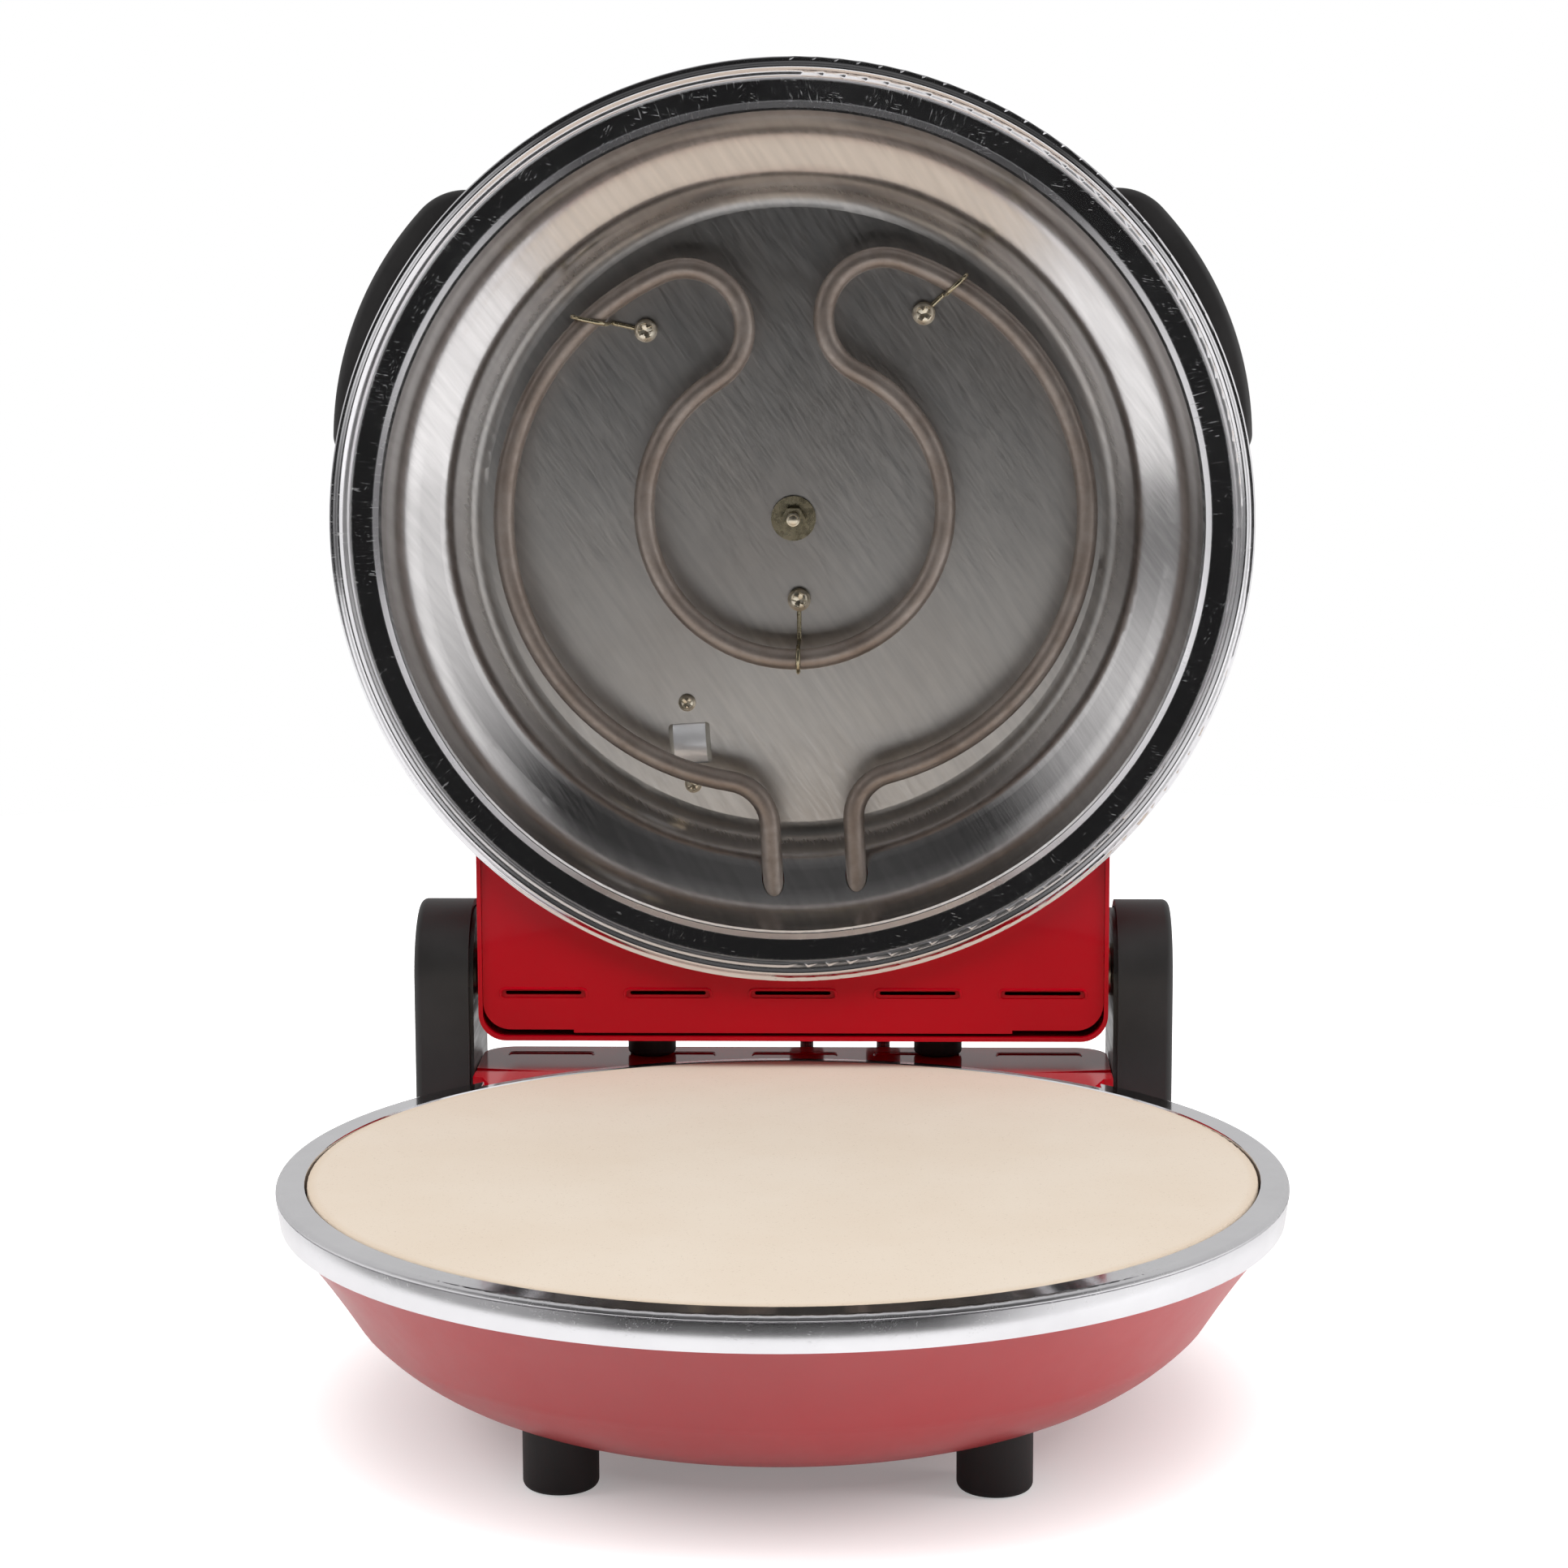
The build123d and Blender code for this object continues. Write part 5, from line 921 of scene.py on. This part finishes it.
@dataclass
class LouvreRow:
    """The pressed lips of one row of louvres."""

    name: str
    body: str
    middle: tuple[float, float, float]
    down: tuple[float, float, float]
    count: int = 5
    pitch: float = 0.0455
    lip: LouvreLip = field(default_factory=lambda: LouvreLip(0.0314, 0.0034, 0.0011))

    def build(self) -> bpy.types.Object:
        """Build the row and let it ride on its body."""
        shape = self.lip.build(self.name + "_one", Vector((1, 0, 0)), Vector(self.down))
        holder = bpy.data.objects.new(self.name + "_start", bpy.data.meshes.new(self.name + "_start"))
        bpy.context.scene.collection.objects.link(holder)
        start = Vector(self.middle) - Vector((self.pitch, 0, 0)) * ((self.count - 1) / 2)
        values = {
            "Shape": shape, "Count": self.count, "Start": tuple(start),
            "Pitch": (self.pitch, 0.0, 0.0), "Finish": MATERIALS["red_gloss"],
        }
        row = TREES["row"].bake(holder, values, self.name)
        bpy.data.objects.remove(shape, do_unlink=True)
        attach(row, self.body)
        log.info("%s: %d lips", row.name, self.count)
        return row


class SubAssembly:
    """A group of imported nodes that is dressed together."""

    nodes: tuple[str, ...] = ()

    def dress(self) -> None:
        """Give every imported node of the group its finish."""
        for node in self.nodes:
            slot = SLOT_OF[node]
            finish = FINISH_OF_NODE.get(node, slot)
            thing = frame["nodes"][node]
            thing.data.materials.clear()
            thing.data.materials.append(MATERIALS[finish])
        log.info("%s: %d packed nodes dressed", type(self).__name__, len(self.nodes))

    def build(self) -> None:
        """Build the group's own pieces."""


SLOT_OF = {row["node"]: row["material_slot"] for row in frame["record"]["subparts"]}
FINISH_OF_NODE: dict[str, str] = {
    "base_trim_ring": "base_trim", "sensor_strip": "bare_strip", "centre_washer": "brass_plate",
    "centre_nut": "brass_plate", "upper_clips": "brass_plate",
}


@dataclass
class BaseBowl(SubAssembly):
    """Enamelled bowl with its trim, stone, hidden lower heater and feet."""

    nodes: tuple[str, ...] = (
        "base_bowl", "base_trim_ring", "stone", "pan_carrier", "base_reflector", "lower_element",
        "lower_element_pins", "lower_element_bushes", "lower_clips", "lower_clip_screws", "feet", "foot_screws",
    )

    def build(self) -> None:
        """Build the foot screws."""
        ScrewSet("foot_screws", "base", (0, 0, -1), CrossScrew(0.0080, 0.0024, 0.0040, 0.0140), 5).build()


@dataclass
class BaseBox(SubAssembly):
    """Rear box of the base with its floor, glands and louvres."""

    nodes: tuple[str, ...] = (
        "base_box", "base_box_cover", "base_link_glands", "mains_gland", "terminal_block",
    )

    def build(self) -> None:
        """Press the lips of the base's louvres."""
        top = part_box("base_box")[1].z
        LouvreRow("base_louvre_lips", "base", (0.0, 0.1436, top), (0.0, -1.0, 0.0)).build()


@dataclass
class HingePosts(SubAssembly):
    """Hinge plates, their moulded covers, pins, nuts and screws."""

    nodes: tuple[str, ...] = (
        "hinge_plate_left", "hinge_plate_right", "hinge_cover_left", "hinge_cover_right", "hinge_caps",
        "post_screws", "hinge_pins", "hinge_nuts", "hinge_washers",
    )


@dataclass
class LidPan(SubAssembly):
    """Dome, trim ring, reflector pan and its insulation."""

    nodes: tuple[str, ...] = ("lid_dome", "lid_trim_ring", "lid_reflector", "lid_insulation")


@dataclass
class Heater(SubAssembly):
    """Upper heating element with its clips, stud and heat sensor."""

    stud_turns: float = 9.0
    stud_pitch: float = 0.0008
    nodes: tuple[str, ...] = (
        "upper_element", "upper_element_pins", "upper_element_bushes", "upper_clips", "upper_clip_screws",
        "centre_spacer", "centre_stud", "centre_washer", "centre_nut", "sensor_strip", "sensor_screws", "sensor_body",
    )

    def build(self) -> None:
        """Build the cross-recess screws and the threaded stud."""
        ScrewSet("upper_clip_screws", "lid", (0, -1, 0), CrossScrew(0.0084, 0.0028, 0.0040, 0.0090), 11).build()
        ScrewSet("sensor_screws", "lid", (0, -1, 0), CrossScrew(0.0064, 0.0028, 0.0040, 0.0090), 12).build()
        self._stud()

    def _stud(self) -> None:
        """Wind a thread round the visible end of the stud."""
        low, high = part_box("centre_stud")
        radius = (high.x - low.x) / 2
        builder = bmesh.new()
        steps = 32
        depth = 0.00022
        core = radius - 2 * depth
        profile = [(core - 0.0004, 0.0), (core, 0.0004), (core, high.y - low.y - 0.0002)]
        loops = [[builder.verts.new((r * cos(2 * pi * s / steps), r * sin(2 * pi * s / steps), z)) for s in range(steps)] for r, z in profile]
        for s in range(steps):
            after = (s + 1) % steps
            for inner, outer in zip(loops, loops[1:]):
                builder.faces.new((inner[s], outer[s], outer[after], inner[after]))
        builder.faces.new(loops[0])
        builder.faces.new(loops[-1])
        core_mesh = mesh_object("stud_core", builder)
        smooth(core_mesh)
        values = {
            "Turns": self.stud_turns, "Radius": core, "Length": self.stud_turns * self.stud_pitch,
            "Depth": 2 * depth * 0.98, "Finish": MATERIALS["bright_steel"],
        }
        stud = TREES["thread"].bake(core_mesh, values, "centre_stud_threaded")
        turn = Matrix.Rotation(-pi / 2, 4, "X")
        middle = (low + high) / 2
        stud.data.transform(Matrix.Translation((middle.x, low.y + 0.0001, middle.z)) @ turn)
        smooth(stud, 50.0)
        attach(stud, "lid")
        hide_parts("centre_stud")
        log.info("%s: %d faces", stud.name, len(stud.data.polygons))


@dataclass
class LidBox(SubAssembly):
    """Box on the back of the lid with its cover, feet and glands."""

    nodes: tuple[str, ...] = ("lid_box", "lid_box_cover", "storage_feet", "storage_foot_screws", "lid_link_glands")

    def build(self) -> None:
        """Build the screws of the storage feet and press the cover's lips."""
        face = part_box("lid_box_cover")[0].y
        LouvreRow("lid_louvre_lips", "lid", (0.0, face, 0.1142), (0.0, 0.0, -1.0)).build()
        ScrewSet("storage_foot_screws", "lid", (0, 0, -1), CrossScrew(0.0080, 0.0024, 0.0040, 0.0110), 21).build()


@dataclass
class SideHandles(SubAssembly):
    """Side handles with the timer, the thermostat and the pilot lamp."""

    nodes: tuple[str, ...] = (
        "pod_left", "pod_right", "pod_screws_left", "pod_screws_right", "timer_movement", "thermostat_movement",
        "timer_spindle", "thermostat_spindle", "timer_knob", "thermostat_knob", "pilot_lens",
    )


@dataclass
class LinkCables(SubAssembly):
    """Two sleeved cables that hang between the boxes."""

    radius: float = 0.0025
    samples: int = 120
    nodes: tuple[str, ...] = ("link_cable_left", "link_cable_right")
    lefts: tuple[float, ...] = (4.0, 4.0, 4.0, 4.0, -14.0, -32.0, -32.0, -32.0)
    rights: tuple[float, ...] = (33.0, 33.0, 33.0, 33.0, 51.0, 69.0, 69.0, 69.0)
    depths: tuple[float, ...] = (166.7, 166.7, 181.7, 202.2, 212.6, 202.2, 183.1, 164.0)
    heights: tuple[float, ...] = (86.0, 65.5, 50.5, 47.5, 47.5, 50.5, 58.0, 58.0)

    def build(self) -> None:
        """Sweep each sleeve along its smooth line."""
        for side, across in (("left", self.lefts), ("right", self.rights)):
            line = bpy.data.curves.new("route_" + side, "CURVE")
            line.dimensions = "3D"
            spline = line.splines.new("NURBS")
            spline.points.add(len(across) - 1)
            for point, x, y, z in zip(spline.points, across, self.depths, self.heights):
                point.co = (x * MM, y * MM, z * MM, 1.0)
            spline.order_u = 3
            spline.use_endpoint_u = True
            line.resolution_u = 24
            holder = bpy.data.objects.new("route_" + side, line)
            bpy.context.scene.collection.objects.link(holder)
            values = {"Radius": self.radius, "Samples": self.samples, "Finish": MATERIALS["cable_sleeve"]}
            sleeve = TREES["sleeve"].bake(holder, values, "link_sleeve_" + side)
            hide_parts("link_cable_" + side)
            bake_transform(sleeve)
            log.info("%s: %d faces", sleeve.name, len(sleeve.data.polygons))


# ---------------------------------------------------------------------------
# Studio
# ---------------------------------------------------------------------------


@dataclass
class Softbox:
    """A large soft lamp aimed at a point."""

    name: str
    place: tuple[float, float, float]
    aim: tuple[float, float, float]
    size: tuple[float, float]
    power: float
    mirrored: bool

    def build(self) -> bpy.types.Object:
        """Build the lamp; one that isn't mirrored lights matt surfaces only."""
        data = bpy.data.lights.new(self.name, "AREA")
        data.shape = "RECTANGLE"
        data.size, data.size_y = self.size
        data.energy = self.power
        lamp = bpy.data.objects.new(self.name, data)
        lamp.location = self.place
        lamp.visible_glossy = self.mirrored
        direction = Vector(self.aim) - Vector(self.place)
        lamp.rotation_mode = "QUATERNION"
        lamp.rotation_quaternion = direction.to_track_quat("-Z", "Y")
        bpy.context.scene.collection.objects.link(lamp)
        return lamp


@dataclass
class Studio:
    """Floor, surrounding light, lamps and camera."""

    place: tuple[float, float, float] = (0.03295, -1.23175, 0.40110)
    right: tuple[float, float, float] = (0.99965301, 0.02613449, -0.00329447)
    upward: tuple[float, float, float] = (-0.00080107, 0.15517266, 0.98788704)
    focal: float = 86.53
    floor_radius: float = 1.3
    lamps: list[Softbox] = field(default_factory=lambda: [
        Softbox("fill_left", (-1.4, -0.45, 1.15), (0.0, 0.0, 0.2), (0.5, 0.9), 7.0, False),
        Softbox("key_right", (1.5, -0.35, 0.65), (0.0, 0.0, 0.2), (0.4, 1.2), 8.5, False),
        Softbox("top", (0.0, -0.55, 1.7), (0.0, 0.0, 0.1), (1.6, 1.0), 17.0, False),
    ])

    def build(self) -> None:
        """Build everything round the object."""
        self._camera()
        self._floor()
        self._world()
        for lamp in self.lamps:
            lamp.build()
        scene = bpy.context.scene
        scene.view_settings.view_transform = "Standard"
        log.info("studio: %d lamps", len(self.lamps))

    def _camera(self) -> None:
        """Set the camera from the photograph's own place and lens."""
        data = bpy.data.cameras.new("camera")
        data.sensor_width = 36.0
        data.lens = self.focal
        data.clip_start, data.clip_end = 0.05, 20.0
        camera = bpy.data.objects.new("camera", data)
        x = Vector(self.right)
        y = Vector(self.upward)
        z = x.cross(y)
        turn = Matrix((x, y, z)).transposed().to_4x4()
        camera.matrix_world = Matrix.Translation(self.place) @ turn
        bpy.context.scene.collection.objects.link(camera)
        bpy.context.scene.camera = camera

    def _floor(self) -> None:
        """Lay a pale floor that keeps the object's shadow, with a painted shadow where its glow fades under the object.
        """
        builder = bmesh.new()
        bmesh.ops.create_circle(builder, cap_ends=True, segments=96, radius=self.floor_radius)
        floor = mesh_object("floor", builder)
        material = bpy.data.materials.new("pale_floor")
        material.use_nodes = True
        material.node_tree.nodes.clear()
        graph = Graph(material.node_tree)
        coords = graph.add("ShaderNodeTexCoord").outputs["Object"]
        tint = graph.ramp(graph.noise(coords, 3.0, 2.0), [(0.3, (0.80, 0.80, 0.80)), (0.7, (0.82, 0.82, 0.82))])
        matt = graph.add("ShaderNodeBsdfDiffuse", None, Color=tint)
        reach = graph.vector("LENGTH", coords)
        # Painted shadow: the glow is weak within 0.10 m of the middle and full beyond 0.22 m, which darkens the floor
        # under the object.
        glow_with_painted_shadow = graph.add("ShaderNodeEmission", None, Strength=graph.span(reach, 0.10, 0.22, 0.22, 1.0))
        seen = graph.add("ShaderNodeLightPath").outputs["Is Camera Ray"]
        both = graph.add("ShaderNodeAddShader", None, i0=matt.outputs[0], i1=glow_with_painted_shadow.outputs[0])
        mirrored = graph.math("MULTIPLY", graph.add("ShaderNodeLightPath").outputs["Is Glossy Ray"], 0.32)
        shown = graph.math("MAXIMUM", seen, mirrored)
        choice = graph.add("ShaderNodeMixShader", None, i0=shown, i1=matt.outputs[0], i2=both.outputs[0])
        output = graph.add("ShaderNodeOutputMaterial", None, Surface=choice.outputs[0])
        output.name = "floor_output"
        floor.data.materials.append(material)

    def _world(self) -> None:
        """Surround the object with soft light, dark behind the camera, white where the camera looks."""
        world = bpy.data.worlds.new("soft_studio")
        world.use_nodes = True
        world.node_tree.nodes.clear()
        graph = Graph(world.node_tree)
        ray = graph.add("ShaderNodeTexCoord").outputs["Generated"]
        parts = graph.add("ShaderNodeSeparateXYZ", None, Vector=ray)
        raised = graph.span(parts.outputs["Z"], 0.02, 0.30, 0.25, 1.0)
        left = graph.math("MULTIPLY", graph.span(parts.outputs["X"], -0.86, -0.55, 0.90, 0.0), raised)
        right = graph.span(parts.outputs["X"], 0.60, 0.90, 0.0, 1.0)
        roof = graph.span(parts.outputs["Z"], 0.60, 0.98, 0.0, 0.10)
        back = graph.span(parts.outputs["Y"], 0.05, 0.50, 0.0, 0.60)
        light = graph.math("MAXIMUM", graph.math("MAXIMUM", left, right), graph.math("MAXIMUM", back, roof))
        light = graph.math("ADD", light, 0.015)
        colour = graph.add("ShaderNodeCombineColor", None, Red=light, Green=light, Blue=light)
        seen = graph.add("ShaderNodeLightPath").outputs["Is Camera Ray"]
        picked = graph.mix(seen, colour.outputs[0], (1.0, 1.0, 1.0, 1.0))
        shader = graph.add("ShaderNodeBackground", None, Color=picked, Strength=1.0)
        graph.add("ShaderNodeOutputWorld", None, Surface=shader.outputs[0])
        bpy.context.scene.world = world


def main() -> None:
    """Dress every sub-assembly, then build the studio."""
    groups = [BaseBowl(), BaseBox(), HingePosts(), LidPan(), Heater(), LidBox(), SideHandles(), LinkCables()]
    dressed: set[str] = set()
    for group in groups:
        group.dress()
        group.build()
        dressed.update(group.nodes)
    missing = sorted(set(frame["nodes"]) - dressed)
    if missing:
        raise ValueError(f"nodes without a finish: {missing}")
    Studio().build()


if __name__ == "__main__":
    main()
